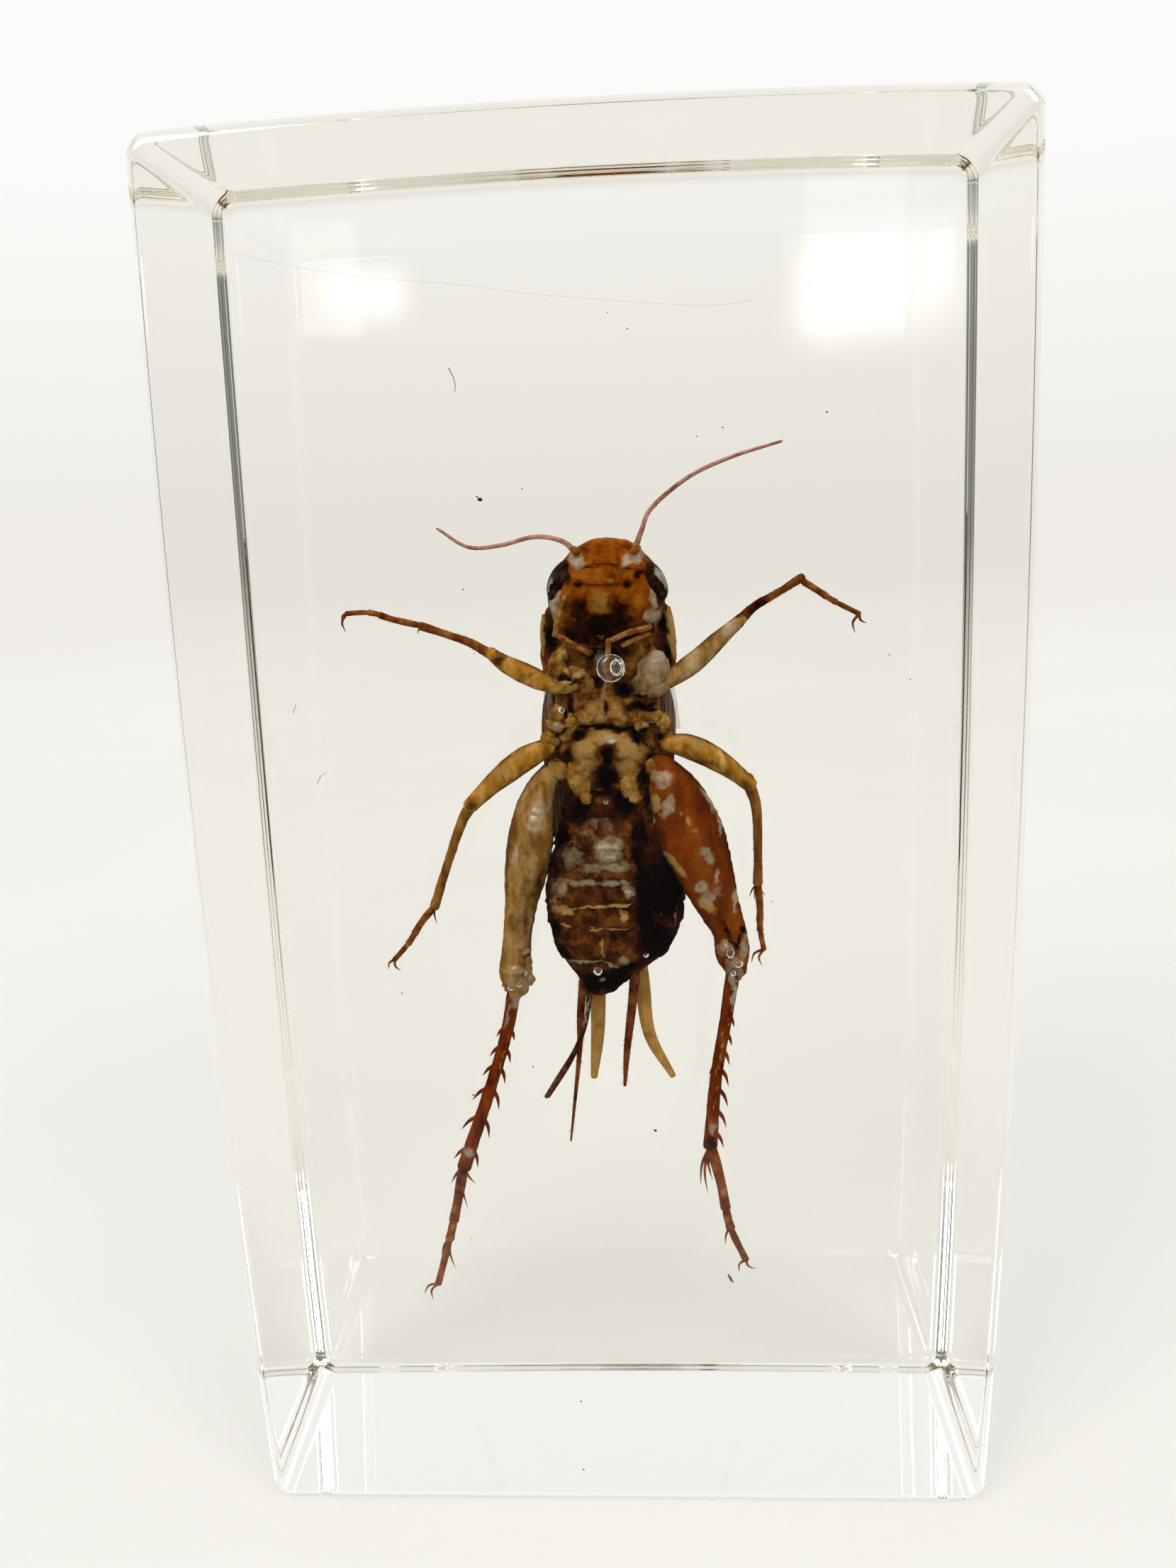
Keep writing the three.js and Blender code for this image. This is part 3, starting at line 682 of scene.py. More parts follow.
# Painted shade: the black over the mouth's pit, the deep dent in FACE_RELIEF, is shade in the
# hollow.
FACE_DARK = [
    (-1.54, 52.22, 0.25, 0.22, 0, 0.8), (2.28, 52.2, 0.28, 0.24, 0, 0.85),
    (-0.91, 51.92, 0.26, 0.16, -15, 0.8), (1.62, 51.77, 0.26, 0.18, 15, 0.75),
    (0.3, 49.75, 1.7, 0.6, 0, 0.82), (0.1, 49.4, 1.1, 0.7, 0, 0.88),
    (0.15, 49.5, 1.9, 0.8, 0, 0.84), (0.2, 48.9, 2.2, 0.6, 0, 0.7), (0.12, 49.2, 0.6, 0.55, 0),
    (-0.9, 50.3, 0.65, 0.9, 12, 0.64), (1.2, 50.3, 0.65, 0.9, -12, 0.64),
    (-1.3, 49.2, 0.7, 0.35, -30, 0.8), (1.7, 49.1, 0.8, 0.3, 25, 0.8), (3.0, 49.5, 0.45, 0.35, 30),
    (-2.55, 49.7, 0.3, 0.5, 0, 0.9), (-0.6, 53.6, 0.28, 0.18, 40, 0.5),
    (1.75, 53.55, 0.28, 0.18, -40, 0.5), (-0.45, 52.7, 0.85, 0.06, 9, 0.6),
    (1.25, 52.64, 0.8, 0.06, -15, 0.6), (3.2, 51.0, 0.3, 0.9, 5, 0.55),
    (-2.5, 51.0, 0.3, 0.9, 0, 0.5),
]
FACE_PALE = [
    (0.15, 50.8, 0.52, 0.72, 0, 0.72), (0.06, 50.35, 0.3, 0.4, 0, 0.55),
    (0.38, 52.0, 0.9, 0.12, 0, 0.45), (-2.0, 50.3, 0.14, 0.9, -12, 0.8),
]
FACE_FILM = [
    (-1.1, 53.02, 0.5, 0.28, -25), (1.9, 53.02, 0.62, 0.27, 28), (-2.3, 51.1, 0.25, 0.55, -12),
    (-2.45, 50.4, 0.3, 0.5, 0), (2.95, 51.0, 0.22, 0.5, 8), (3.02, 49.95, 0.38, 0.42, 0),
    (2.55, 50.0, 0.2, 0.25, 0),
]
# A silvery air film on each eye, which is also a painted highlight on the right eye and painted
# sheen on the left.
EYE_FILM_AND_HIGHLIGHT = [(3.45, 51.95, 0.2, 0.6, 26), (-2.5, 51.75, 0.1, 0.35, -25)]
SHIELD_DARK = [(3.4, 49.6, 0.3, 0.6, 0), (3.65, 47.9, 0.2, 0.5, 0), (-2.6, 49.0, 0.35, 0.9, 0)]
THORAX_RELIEF = [
    (0.42, 46.2, 0.22, 0.75, 0, 0.28), (0.25, 45.05, 1.25, 0.5, 0, 0.22),
    (-0.75, 44.78, 0.4, 0.25, 15, 0.12), (1.12, 44.75, 0.4, 0.3, -15, 0.12),
    (0.33, 43.2, 1.7, 0.7, 0, 0.24), (-0.8, 42.6, 0.75, 0.6, 25, 0.16),
    (1.5, 42.5, 0.85, 0.6, -25, 0.16), (0.25, 42.2, 0.28, 0.95, 0, -0.5),
    (-0.09, 46.6, 0.28, 0.3, 0, -0.4), (1.15, 46.3, 0.35, 0.3, 0, -0.4),
    (0.2, 44.2, 1.5, 0.12, -4, -0.3), (0.3, 45.25, 0.12, 0.4, 0, -0.1),
]
# Painted shade: the dark marks over the chest's dents in THORAX_RELIEF, which are the keyhole, the
# pits beside the fore legs and the grooves across it.
THORAX_DARK = [
    (0.28, 42.6, 0.3, 0.7, 0), (0.1, 41.4, 0.75, 0.8, 0), (-0.1, 46.75, 0.3, 0.35, 10, 0.8),
    (1.2, 46.2, 0.42, 0.45, 0), (-0.1, 44.22, 1.15, 0.14, 0), (0.9, 44.15, 0.85, 0.14, -6),
    (-1.2, 43.9, 0.5, 0.2, 30, 0.95), (1.9, 43.7, 0.55, 0.3, -35), (0.2, 48.1, 1.4, 0.6, 0, 0.9),
    (2.2, 45.25, 0.8, 0.22, 0), (-1.6, 45.4, 0.2, 0.5, 0, 0.8), (0.32, 45.3, 0.13, 0.38, 0, 0.85),
    (2.7, 42.2, 0.4, 0.8, 20, 0.8), (-1.9, 42.6, 0.35, 0.5, 0, 0.8),
]
THORAX_PALE = [
    (0.3, 46.2, 0.2, 0.8, 0, 0.55), (-1.7, 46.9, 0.9, 0.8, 20, 0.5),
    (-1.9, 44.6, 0.9, 0.9, 0, 0.55), (2.5, 45.0, 0.7, 0.5, 0, 0.45), (0.2, 45.2, 1.5, 0.7, 0, 0.5),
    (0.25, 45.15, 1.1, 0.45, 0, 0.4), (-0.75, 44.78, 0.42, 0.24, 15, 0.7),
    (1.12, 44.75, 0.4, 0.3, -15, 0.7), (0.35, 43.7, 1.2, 0.35, 0, 0.9),
    (-0.95, 43.1, 0.75, 0.6, 30, 0.9), (1.5, 43.05, 0.8, 0.6, -30, 0.85),
    (-0.85, 42.0, 0.55, 0.75, -12, 0.8), (1.35, 42.0, 0.55, 0.75, 12, 0.8),
]
# Silvery films on the chest; the last is a painted highlight, the pale crescent of the bubble in
# front of it.
THORAX_FILM_AND_HIGHLIGHT = [
    (0.45, 43.65, 0.35, 0.2, 0), (-2.05, 45.3, 0.14, 0.14, 0), (0.2, 47.4, 0.4, 0.8, 0, 0.7),
]
BELLY_RELIEF = [
    (0.1, 37.5, 1.0, 0.85, 0, 0.16), (-1.9, 36.9, 0.8, 0.7, 0, 0.12),
    (-0.85, 34.85, 1.75, 0.5, 0, 0.1), (-0.75, 33.4, 1.3, 0.45, 0, 0.1),
    (-0.9, 31.8, 1.6, 0.8, 0, 0.1), (1.9, 34.2, 0.35, 4.2, 3, -0.2),
    (-0.35, 31.6, 0.07, 0.6, 2, 0.08),
]
BELLY_DARK = [
    (0.1, 40.9, 0.9, 0.75, 0), (-1.35, 39.6, 0.65, 1.1, -35), (-2.3, 38.1, 0.35, 0.8, -22, 0.9),
    (-2.87, 36.2, 0.25, 0.6, 0, 0.7), (1.1, 40.0, 0.6, 0.9, 35), (1.95, 38.2, 0.4, 0.9, 15),
    (1.8, 36.8, 0.35, 1.2, 0, 0.9), (2.1, 34.0, 0.62, 3.4, 2), (3.2, 35.0, 1.3, 2.4, 0),
    (2.7, 32.0, 1.1, 1.3, 25), (-3.1, 32.7, 0.45, 0.75, 0, 0.9), (-2.6, 31.3, 0.7, 0.3, -35, 0.8),
    (-0.2, 29.5, 1.9, 0.75, 0), (-0.6, 31.0, 0.9, 0.25, 0, 0.5), (0.7, 30.2, 1.4, 0.4, 20, 0.9),
    (-0.4, 39.3, 1.3, 0.45, 0, 0.5),
]
BELLY_PALE = [
    (-2.6, 35.1, 0.5, 0.35, 0, 0.45), (-2.9, 34.3, 0.35, 0.45, 0, 0.5),
    (-0.9, 34.13, 1.0, 0.08, 2), (0.6, 34.22, 0.75, 0.08, 6), (-2.5, 33.85, 0.6, 0.22, 0),
    (0.95, 33.75, 0.3, 0.26, 0), (-2.35, 33.02, 0.38, 0.07, 0), (-0.65, 32.84, 0.5, 0.07, 6),
    (0.65, 32.88, 0.55, 0.06, 0), (-0.35, 31.6, 0.07, 0.6, 2, 0.8),
    (-1.6, 37.6, 0.6, 0.4, 30, 0.3),
]
BELLY_FILM = [
    (0.15, 37.45, 0.75, 0.75, 0, 0.85), (0.4, 36.5, 0.8, 0.22, 0, 0.8),
    (-1.9, 37.0, 0.85, 0.6, 15, 0.47), (-0.7, 36.4, 1.1, 0.5, 0, 0.47),
    (-1.1, 38.3, 0.9, 0.4, 20, 0.34), (-0.2, 38.8, 0.8, 0.4, 0, 0.34),
    (-1.6, 35.55, 1.5, 0.22, 0, 0.6), (0.6, 35.6, 1.0, 0.22, 0, 0.62),
    (1.2, 35.1, 0.35, 0.35, 0, 0.75), (-2.7, 35.1, 0.5, 0.6, 0, 0.5),
    (-1.4, 30.8, 0.9, 0.12, 4, 0.95), (0.05, 30.62, 0.6, 0.12, -18, 0.9),
    (0.75, 30.85, 0.25, 0.28, 40, 0.85), (3.75, 33.3, 0.08, 0.6, -20, 0.5),
    (-0.5, 29.6, 0.25, 0.1, 30, 0.6),
]

# --------------------------------------------------------- legs and feelers
# Half thicknesses along each part of a leg, and the points [x, y, z] it runs through.
FORE_LEG = {
    "femur": [0.42, 0.55, 0.52, 0.42, 0.3],
    "tibia": [0.3, 0.25, 0.22, 0.2, 0.24],
    "foot": [0.2, 0.17, 0.15, 0.12],
}
MIDDLE_LEG = {
    "femur": [0.45, 0.66, 0.66, 0.52, 0.4],
    "tibia": [0.36, 0.3, 0.26, 0.24, 0.28],
    "foot": [0.24, 0.19, 0.17, 0.13],
}
HIND_LEG = {
    "tibia": [0.42, 0.37, 0.34, 0.36, 0.42],
    "foot": [0.36, 0.28, 0.24, 0.18],
}
LEGS = {
    "left_fore": {
        **FORE_LEG,
        "femur_path": [
            [-2.4, -1.6, 46.4], [-3.9, -1.3, 47.1], [-5.1, -0.9, 47.7], [-5.9, -0.6, 48.3],
        ],
        "tibia_path": [
            [-5.7, -0.6, 48.1], [-6.9, -0.4, 48.8], [-7.9, -0.3, 49.2], [-9.6, -0.1, 49.8],
        ],
        "foot_path": [[-9.5, -0.1, 49.8], [-11.1, 0, 50.2], [-12.3, 0, 50.6], [-13.6, 0, 50.6]],
        "claws": [[-13.9, 0, 50.2], [-13.75, 0.1, 49.6]],
        "spurs": [[-9.95, -0.2, 50.1], [-9.8, -0.1, 49.4]],
    },
    "right_fore": {
        **FORE_LEG,
        "femur_path": [[3.5, -1.6, 46.5], [5.0, -1.4, 47.5], [6.3, -1.0, 48.6], [7.6, -0.6, 49.7]],
        "tibia_path": [[7.4, -0.6, 49.5], [8.3, -0.4, 50.3], [9.4, -0.3, 50.9], [10.8, 0, 51.7]],
        "foot_path": [[10.7, 0, 51.6], [11.6, 0, 51.0], [12.5, 0, 50.4], [13.8, 0, 49.7]],
        "claws": [[14.2, 0, 49.2], [13.6, 0, 48.7]],
        "spurs": [[11.3, -0.1, 51.0], [10.9, 0, 51.2]],
    },
    "left_middle": {
        **MIDDLE_LEG,
        "femur_path": [
            [-2.9, -1.6, 43.2], [-4.4, -1.1, 42.4], [-6.0, -0.7, 41.2], [-7.5, -0.4, 39.8],
        ],
        "tibia_path": [[-7.3, -0.4, 40.0], [-8.0, -0.3, 38.9], [-9.0, 0, 36.4], [-9.9, 0.2, 33.9]],
        "foot_path": [
            [-9.9, 0.2, 33.9], [-10.7, 0.2, 33.0], [-11.5, 0.2, 31.8], [-12.4, 0.2, 30.8],
        ],
        "claws": [[-12.8, 0.2, 30.2], [-12.1, 0.2, 30.1]],
        "spurs": [[-10.6, 0.1, 33.4], [-9.8, 0.1, 32.9], [-10.5, 0.3, 33.0]],
    },
    "right_middle": {
        **MIDDLE_LEG,
        "femur_path": [[3.4, -1.6, 43.3], [5.0, -1.2, 42.8], [6.6, -0.7, 41.8], [8.0, -0.4, 40.6]],
        "tibia_path": [[7.8, -0.4, 40.9], [8.3, -0.2, 39.4], [8.4, 0, 37.0], [8.4, 0.2, 34.9]],
        "foot_path": [[8.4, 0.2, 34.9], [8.5, 0.2, 33.4], [8.5, 0.2, 32.2], [8.7, 0.2, 31.0]],
        "claws": [[8.0, 0.2, 30.2], [8.6, 0.2, 30.0]],
        "spurs": [[7.9, 0.1, 34.1], [8.8, 0.1, 34.2], [8.2, 0.3, 33.9]],
    },
    "left_hind": {
        **HIND_LEG,
        "femur": [0.6, 0.95, 1.25, 1.2, 0.85, 0.82, 0.95, 0.6],
        "femur_depth": 1.25,
        "femur_path": [
            [-2.9, -1.0, 41.7], [-3.7, -0.9, 40.2], [-4.1, -0.8, 38.3], [-4.5, -0.7, 36.2],
            [-5.0, -0.6, 33.6], [-5.3, -0.5, 31.4], [-5.4, -0.5, 30.0], [-5.3, -0.5, 29.0],
        ],
        "tibia_path": [
            [-5.4, -0.5, 29.6], [-6.1, -0.4, 26.4], [-7.2, -0.2, 23.0], [-9.1, 0, 17.8],
        ],
        "foot_path": [[-9.1, 0, 18.0], [-9.6, 0, 15.6], [-10.2, 0, 13.2], [-11.1, 0, 10.1]],
        "claws": [[-12.0, 0, 9.4], [-11.5, 0, 9.0]],
        "spine_rows": [(-1, [0.5, 0.6, 0.7, 0.9, 1.0, 0.8]), (1, [0.5, 0.7, 0.8, 1.0, 1.0, 0.9])],
        "spurs": [[-9.0, -0.3, 15.2], [-9.9, -0.2, 16.8], [-8.5, 0, 16.7]],
        "foot_spurs": [[-10.8, 0, 12.0], [-10.0, 0, 11.1]],
    },
    "right_hind": {
        **HIND_LEG,
        "femur": [0.8, 1.5, 1.8, 1.65, 1.25, 0.95, 0.95, 0.6],
        "femur_depth": 0.65,
        "femur_path": [
            [3.0, -1.4, 42.0], [3.9, -1.4, 40.2], [4.6, -1.4, 38.2], [5.2, -1.3, 36.5],
            [6.0, -1.1, 34.2], [6.7, -0.9, 32.4], [6.9, -0.7, 31.0], [7.1, -0.6, 29.9],
        ],
        "tibia_path": [[7.0, -0.6, 30.3], [6.5, -0.4, 27.0], [5.9, -0.2, 23.4], [5.5, 0, 19.0]],
        "foot_path": [[5.5, 0, 19.2], [6.1, 0, 16.6], [6.6, 0, 13.8], [7.5, 0, 11.6]],
        "claws": [[7.1, 0, 10.8], [8.1, 0, 11.0]],
        "spine_rows": [(1, [0.5, 0.6, 0.7, 0.9, 1.0, 1.0, 0.9]), (-1, [0.2, 0.3, 0.3])],
        "spurs": [[4.9, 0, 16.5], [5.3, -0.2, 16.0], [5.6, 0, 16.8]],
        "foot_spurs": [[6.3, 0, 12.6], [7.1, 0, 13.1]],
    },
}

# The lobes of each leg's base: centre, half sizes and tilt.
COXA_LOBES = {
    "left_fore": [
        ((-2.2, -1.75, 47.75), (0.5, 0.55, 0.95), 28), ((-1.2, -1.95, 47.1), (0.8, 0.5, 0.36), 28),
        ((-1.9, -1.7, 46.45), (0.9, 0.55, 0.4), -6), ((-0.6, -1.8, 46.5), (0.3, 0.4, 0.42), 0),
        ((-2.5, -1.45, 46.8), (0.5, 0.5, 0.6), 0),
    ],
    "right_fore": [
        ((2.75, -1.9, 47.15), (0.8, 0.5, 1.15), 24), ((2.1, -2.0, 46.4), (0.5, 0.45, 0.7), 10),
        ((2.95, -1.75, 46.15), (0.75, 0.5, 0.5), -10), ((3.4, -1.55, 47.2), (0.35, 0.4, 0.8), -15),
    ],
    "left_middle": [
        ((-2.35, -1.7, 45.0), (0.5, 0.45, 0.5), 0), ((-2.35, -1.8, 44.3), (0.7, 0.45, 0.36), 25),
        ((-1.6, -1.9, 44.5), (0.35, 0.4, 0.5), 0), ((-2.8, -1.55, 43.6), (0.5, 0.5, 0.55), 30),
        ((-2.0, -1.8, 43.9), (0.45, 0.4, 0.35), 30),
    ],
    "right_middle": [
        ((2.6, -1.75, 44.75), (0.75, 0.45, 0.4), -8), ((2.15, -1.9, 44.2), (0.4, 0.4, 0.4), 0),
        ((3.3, -1.6, 44.4), (0.4, 0.4, 0.5), 0), ((3.4, -1.5, 43.5), (0.45, 0.5, 0.5), 0),
    ],
    "left_hind": [
        ((-1.35, -1.5, 41.35), (0.62, 0.4, 1.05), -16),
        ((-1.0, -1.55, 40.35), (0.34, 0.35, 0.4), -30), ((-2.5, -1.3, 41.9), (0.6, 0.55, 0.6), 0),
        ((-0.95, -1.75, 42.3), (0.5, 0.4, 0.5), 20),
    ],
    "right_hind": [
        ((1.45, -1.55, 41.3), (0.58, 0.4, 1.05), 14),
        ((1.75, -1.55, 40.3), (0.36, 0.35, 0.42), 30), ((2.5, -1.45, 41.7), (0.6, 0.55, 0.7), 0),
        ((1.1, -1.8, 42.4), (0.5, 0.4, 0.45), -20),
    ],
}

# Silver films, dark marks and pale skin on the legs, as marks; the thin dark lines among the lobes
# of the leg bases are painted shade in the gaps.
LEG_FILMS = {
    "left_fore": [(-1.2, 47.1, 0.35, 0.15, 28, 0.5)],
    "right_fore": [
        (3.1, 47.7, 0.55, 0.7, 24, 0.7), (2.4, 46.6, 0.4, 0.4, 0, 0.4),
        (6.9, 49.2, 0.5, 0.3, 40, 0.6),
    ],
    "left_middle": [(-2.4, 44.3, 0.35, 0.15, 25, 0.7), (-2.2, 43.6, 0.4, 0.2, 30, 0.6)],
    "right_middle": [(2.5, 44.35, 0.3, 0.2, 0, 0.7), (3.9, 43.4, 0.3, 0.2, 0, 0.5)],
    "left_hind": [
        (-3.67, 39.4, 0.5, 0.85, -8), (-4.95, 37.1, 0.18, 0.6, 0), (-5.0, 31.9, 0.4, 0.3, 0, 0.6),
        (-5.2, 30.4, 0.9, 0.25, 0, 0.65), (-5.1, 29.5, 0.85, 0.5, 0, 0.6),
        (-4.6, 30.0, 0.3, 0.7, 0, 0.6), (-5.5, 28.3, 0.3, 0.45, 0, 0.8),
        (-8.75, 18.9, 0.25, 0.3, 0, 0.9), (-5.95, 27.6, 0.1, 0.9, -12, 0.7),
    ],
    "right_hind": [
        (3.2, 41.28, 0.5, 0.45, 0), (3.45, 39.7, 0.26, 0.65, -22), (2.55, 38.85, 0.28, 0.3, 0),
        (5.5, 37.2, 0.45, 0.22, -35), (5.75, 36.85, 0.22, 0.3, 0), (6.2, 38.6, 0.12, 0.5, 12),
        (6.1, 35.9, 0.12, 0.45, 0), (5.2, 35.15, 0.35, 0.4, 0), (5.6, 34.5, 0.3, 0.3, 30),
        (5.6, 34.9, 0.85, 0.5, 0, 0.5), (7.0, 34.3, 0.12, 0.6, 5), (5.75, 40.0, 0.12, 0.7, 28),
        (7.5, 31.3, 0.3, 0.75, -8, 0.75), (6.45, 31.6, 0.35, 0.4, 0, 0.75),
        (7.0, 30.6, 0.5, 0.4, 0, 0.7), (6.9, 29.6, 0.2, 0.5, 0), (6.95, 28.6, 0.14, 0.7, 0),
        (5.65, 20.2, 0.2, 0.5, 0, 0.9), (6.9, 27.4, 0.1, 0.7, 6, 0.6),
        (6.2, 16.2, 0.12, 0.4, 0, 0.6),
    ],
}
LEG_DARKS = {
    "left_fore": [
        (-5.4, 47.95, 0.8, 0.3, 30, 0.55), (-4.0, 47.0, 1.2, 0.14, 24, 0.36),
        (-1.7, 46.9, 0.2, 0.15, 0, 0.75), (-0.95, 46.5, 0.12, 0.4, 0, 0.7),
        (-1.3, 46.75, 0.7, 0.1, 28, 0.65), (-1.7, 47.6, 0.1, 0.6, 28, 0.65),
    ],
    "right_fore": [
        (8.4, 50.35, 0.9, 0.3, 38, 0.6), (7.4, 49.9, 0.3, 0.2, 0, 0.6),
        (2.3, 45.75, 0.9, 0.16, -8, 0.8), (1.55, 46.5, 0.14, 0.8, 0, 0.75),
    ],
    "left_middle": [
        (-7.4, 39.9, 0.4, 0.5, 0, 0.5), (-1.9, 44.95, 0.15, 0.4, 0),
        (-2.1, 44.0, 0.6, 0.1, 25, 0.9), (-5.0, 41.2, 1.8, 0.14, 32, 0.42),
    ],
    "right_middle": [
        (5.2, 42.2, 1.6, 0.16, -22, 0.45), (7.9, 40.6, 0.4, 0.5, 0, 0.5),
        (2.94, 43.7, 0.4, 0.35, 0), (2.3, 43.9, 0.5, 0.2, 20), (2.4, 45.2, 0.7, 0.14, 0),
    ],
    "left_hind": [
        (-4.3, 34.8, 0.35, 1.6, -12, 0.4), (-3.6, 35.8, 0.16, 1.0, -12, 0.5),
        (-4.6, 33.4, 0.2, 0.9, -10, 0.5), (-4.2, 32.0, 0.2, 0.7, 0, 0.5),
        (-4.55, 31.2, 0.3, 0.12, 0), (-9.1, 17.7, 0.35, 0.5, 0, 0.55),
        (-4.1, 37.9, 0.4, 0.9, -20, 0.3), (-4.6, 35.2, 0.28, 1.4, -22, 0.34),
        (-4.9, 32.9, 0.45, 0.8, 10, 0.34),
    ],
    "right_hind": [
        (2.2, 41.3, 0.3, 0.8, 0), (5.6, 19.3, 0.35, 0.6, 0, 0.6), (6.6, 32.6, 0.12, 0.5, 25),
        (7.2, 31.8, 0.07, 0.5, -25), (6.95, 31.7, 0.07, 0.6, 35), (7.5, 32.4, 0.2, 0.3, 0),
    ],
}
LEG_PALES = {
    "left_middle": [(-5.2, 42.2, 1.4, 0.24, 35, 0.65)],
    "right_middle": [(5.0, 43.2, 1.3, 0.26, -22, 0.65)],
    "left_hind": [
        (-4.0, 41.5, 0.3, 0.5, 0), (-3.0, 41.6, 0.3, 0.5, 0), (-4.9, 35.0, 0.2, 1.2, 0, 0.7),
        (-5.45, 35.0, 0.16, 2.8, -10, 0.6), (-3.3, 36.2, 0.12, 2.4, -8, 0.5),
        (-6.5, 24.6, 0.05, 2.4, -18, 0.5),
    ],
    "right_hind": [
        (3.75, 36.5, 0.22, 1.0, 38), (5.9, 39.6, 0.08, 1.5, 26, 0.8),
        (4.5, 38.9, 0.07, 0.8, 38, 0.7), (6.15, 24.6, 0.06, 3.6, -8, 0.5),
        (5.5, 34.0, 0.3, 0.6, 40), (6.4, 31.8, 0.3, 0.25, 0), (2.75, 39.9, 0.3, 0.5, 0),
    ],
}
LEG_MARKS = {"silver": LEG_FILMS, "dark": LEG_DARKS, "pale": LEG_PALES}

# Feelers and tail parts: the points they run through and their half thicknesses.
APPENDAGES = {
    "left_antenna": (
        [
            [-0.9, -1.2, 53.2], [-1.7, -1.1, 54.0], [-3.2, -0.6, 54.3], [-5.2, -0.1, 53.9],
            [-6.9, 0.4, 53.9], [-8.5, 0.9, 54.9],
        ],
        [0.2, 0.13, 0.12, 0.11, 0.1, 0.07],
    ),
    "right_antenna": (
        [
            [1.9, -1.2, 53.1], [2.4, -1.0, 54.4], [3.0, -0.6, 55.6], [5.0, 0.1, 57.1],
            [7.2, 0.6, 58.0], [9.8, 0.9, 58.7],
        ],
        [0.2, 0.13, 0.12, 0.11, 0.1, 0.07],
    ),
    "ovipositor": (
        [[-1.2, -0.2, 29.2], [-1.6, -0.2, 26.8], [-2.4, -0.1, 24.8], [-4.0, 0, 22.2]],
        [0.16, 0.1, 0.1, 0.11, 0.16, 0.13],
    ),
    "left_cercus": (
        [[-1.4, 0.3, 30.6], [-1.8, 0.4, 27.5], [-2.0, 0.5, 24.7], [-2.7, 0.6, 19.2]],
        [0.32, 0.24, 0.2, 0.13, 0.06],
    ),
    "right_cercus": (
        [[1.5, 0.3, 30.8], [1.2, 0.4, 28.0], [0.8, 0.5, 25.0], [0.6, 0.5, 22.7]],
        [0.34, 0.28, 0.24, 0.18, 0.09],
    ),
    "left_hind_wing_tip": (
        [[-0.5, 2.2, 33.0], [-0.8, 1.6, 29.0], [-0.9, 1.0, 26.0], [-1.2, 0.8, 23.2]],
        [0.45, 0.46, 0.43, 0.36, 0.2],
    ),
    "right_hind_wing_tip": (
        [[1.1, 2.2, 33.0], [1.7, 1.6, 29.2], [2.1, 1.0, 25.8], [3.4, 0.8, 23.2]],
        [0.45, 0.46, 0.4, 0.32, 0.18],
    ),
}
OVIPOSITOR_FILM = [(-1.42, 27.8, 0.08, 1.1, -9, 0.8)]
# Palps add how pale they are.
PALPS = [
    ([[-1.7, -2.2, 51.2], [-2.05, -2.35, 50.2], [-2.3, -2.3, 49.2]], [0.13, 0.16, 0.15], 0.4),
    ([[-2.2, -2.35, 49.25], [-1.3, -2.5, 48.7], [-0.45, -2.6, 48.25]], [0.15, 0.16, 0.19], 0.1),
    ([[2.75, -2.3, 49.5], [1.6, -2.6, 49.25], [0.55, -2.85, 48.85]], [0.15, 0.16, 0.15], 0.42),
    ([[0.55, -2.85, 48.9], [0.48, -2.85, 48.1], [0.45, -2.7, 46.9]], [0.15, 0.16, 0.17], 0.35),
    ([[2.7, -2.2, 49.1], [2.0, -2.4, 48.9], [1.25, -2.5, 48.6]], [0.1, 0.13, 0.14], 0.3),
]


def limb_frames(path, t):
    """Points along a smooth path, which way it runs and which way is across it."""
    centres = spline(path, t)
    step = 1e-3
    tangents = spline(path, np.clip(t + step, 0, 1)) - spline(path, np.clip(t - step, 0, 1))
    tangents /= np.linalg.norm(tangents, axis=1)[:, None]
    across = np.cross([0.0, 1.0, 0.0], tangents)
    across /= np.linalg.norm(across, axis=1)[:, None]
    return centres, tangents, across


HAIR_DARKNESS = 0.4
HAIR_FOOT = ((1, 0), (-0.5, 0.87), (-0.5, -0.87))  # a hair's three corners round its root
HAIR_SIDES = [(0, 1, 3), (1, 2, 3), (2, 0, 3), (2, 1, 0)]
HAIR_SINK = 0.92  # a hair starts at this share of the limb's thickness
HAIR_SPAN = (0.05, 0.97)  # the stretch of a limb that has hairs
LEAN_SPREAD, LENGTH_SPREAD = (0.7, 1.2), (0.6, 1.2)  # least and most, times the usual


def hairs(path, radii, count, length, seed, slant=0.7, thickness=0.013):
    """Short stiff hairs that lean towards the tip of a limb."""
    random = np.random.default_rng(seed)
    shape = Shape()
    t = random.uniform(*HAIR_SPAN, count)
    centres, tangents, across = limb_frames(path, t)
    deep = np.cross(tangents, across)
    thick = lerp_list(radii, t)
    for i in range(count):
        turn = random.uniform(0, 2 * math.pi)
        out = across[i] * math.cos(turn) + deep[i] * math.sin(turn)
        root = centres[i] + out * thick[i] * HAIR_SINK
        lean = slant * random.uniform(*LEAN_SPREAD)
        way = out * math.cos(lean) + tangents[i] * math.sin(lean)
        tip = root + way * length * random.uniform(*LENGTH_SPREAD)
        side = np.cross(way, out + 0.3 * tangents[i])
        side /= np.linalg.norm(side)
        up = np.cross(side, way)
        base = [root + thickness * (side * c + up * s) for c, s in HAIR_FOOT]
        shape.add(base + [tip], HAIR_SIDES, dark=HAIR_DARKNESS)
    return shape


def ringed(shape, path, spacing, depth):
    """Squeeze a feeler or cercus into the short joints it is made of."""
    line, nearest = nearest_on(path, shape.points, 400)
    run = np.concatenate([[0], np.cumsum(np.linalg.norm(np.diff(line, axis=0), axis=1))])
    centre = line[nearest]
    swell = 1 + depth * np.sin(2 * math.pi * run[nearest] / spacing)
    shape.points = centre + (shape.points - centre) * swell[:, None]
    return shape


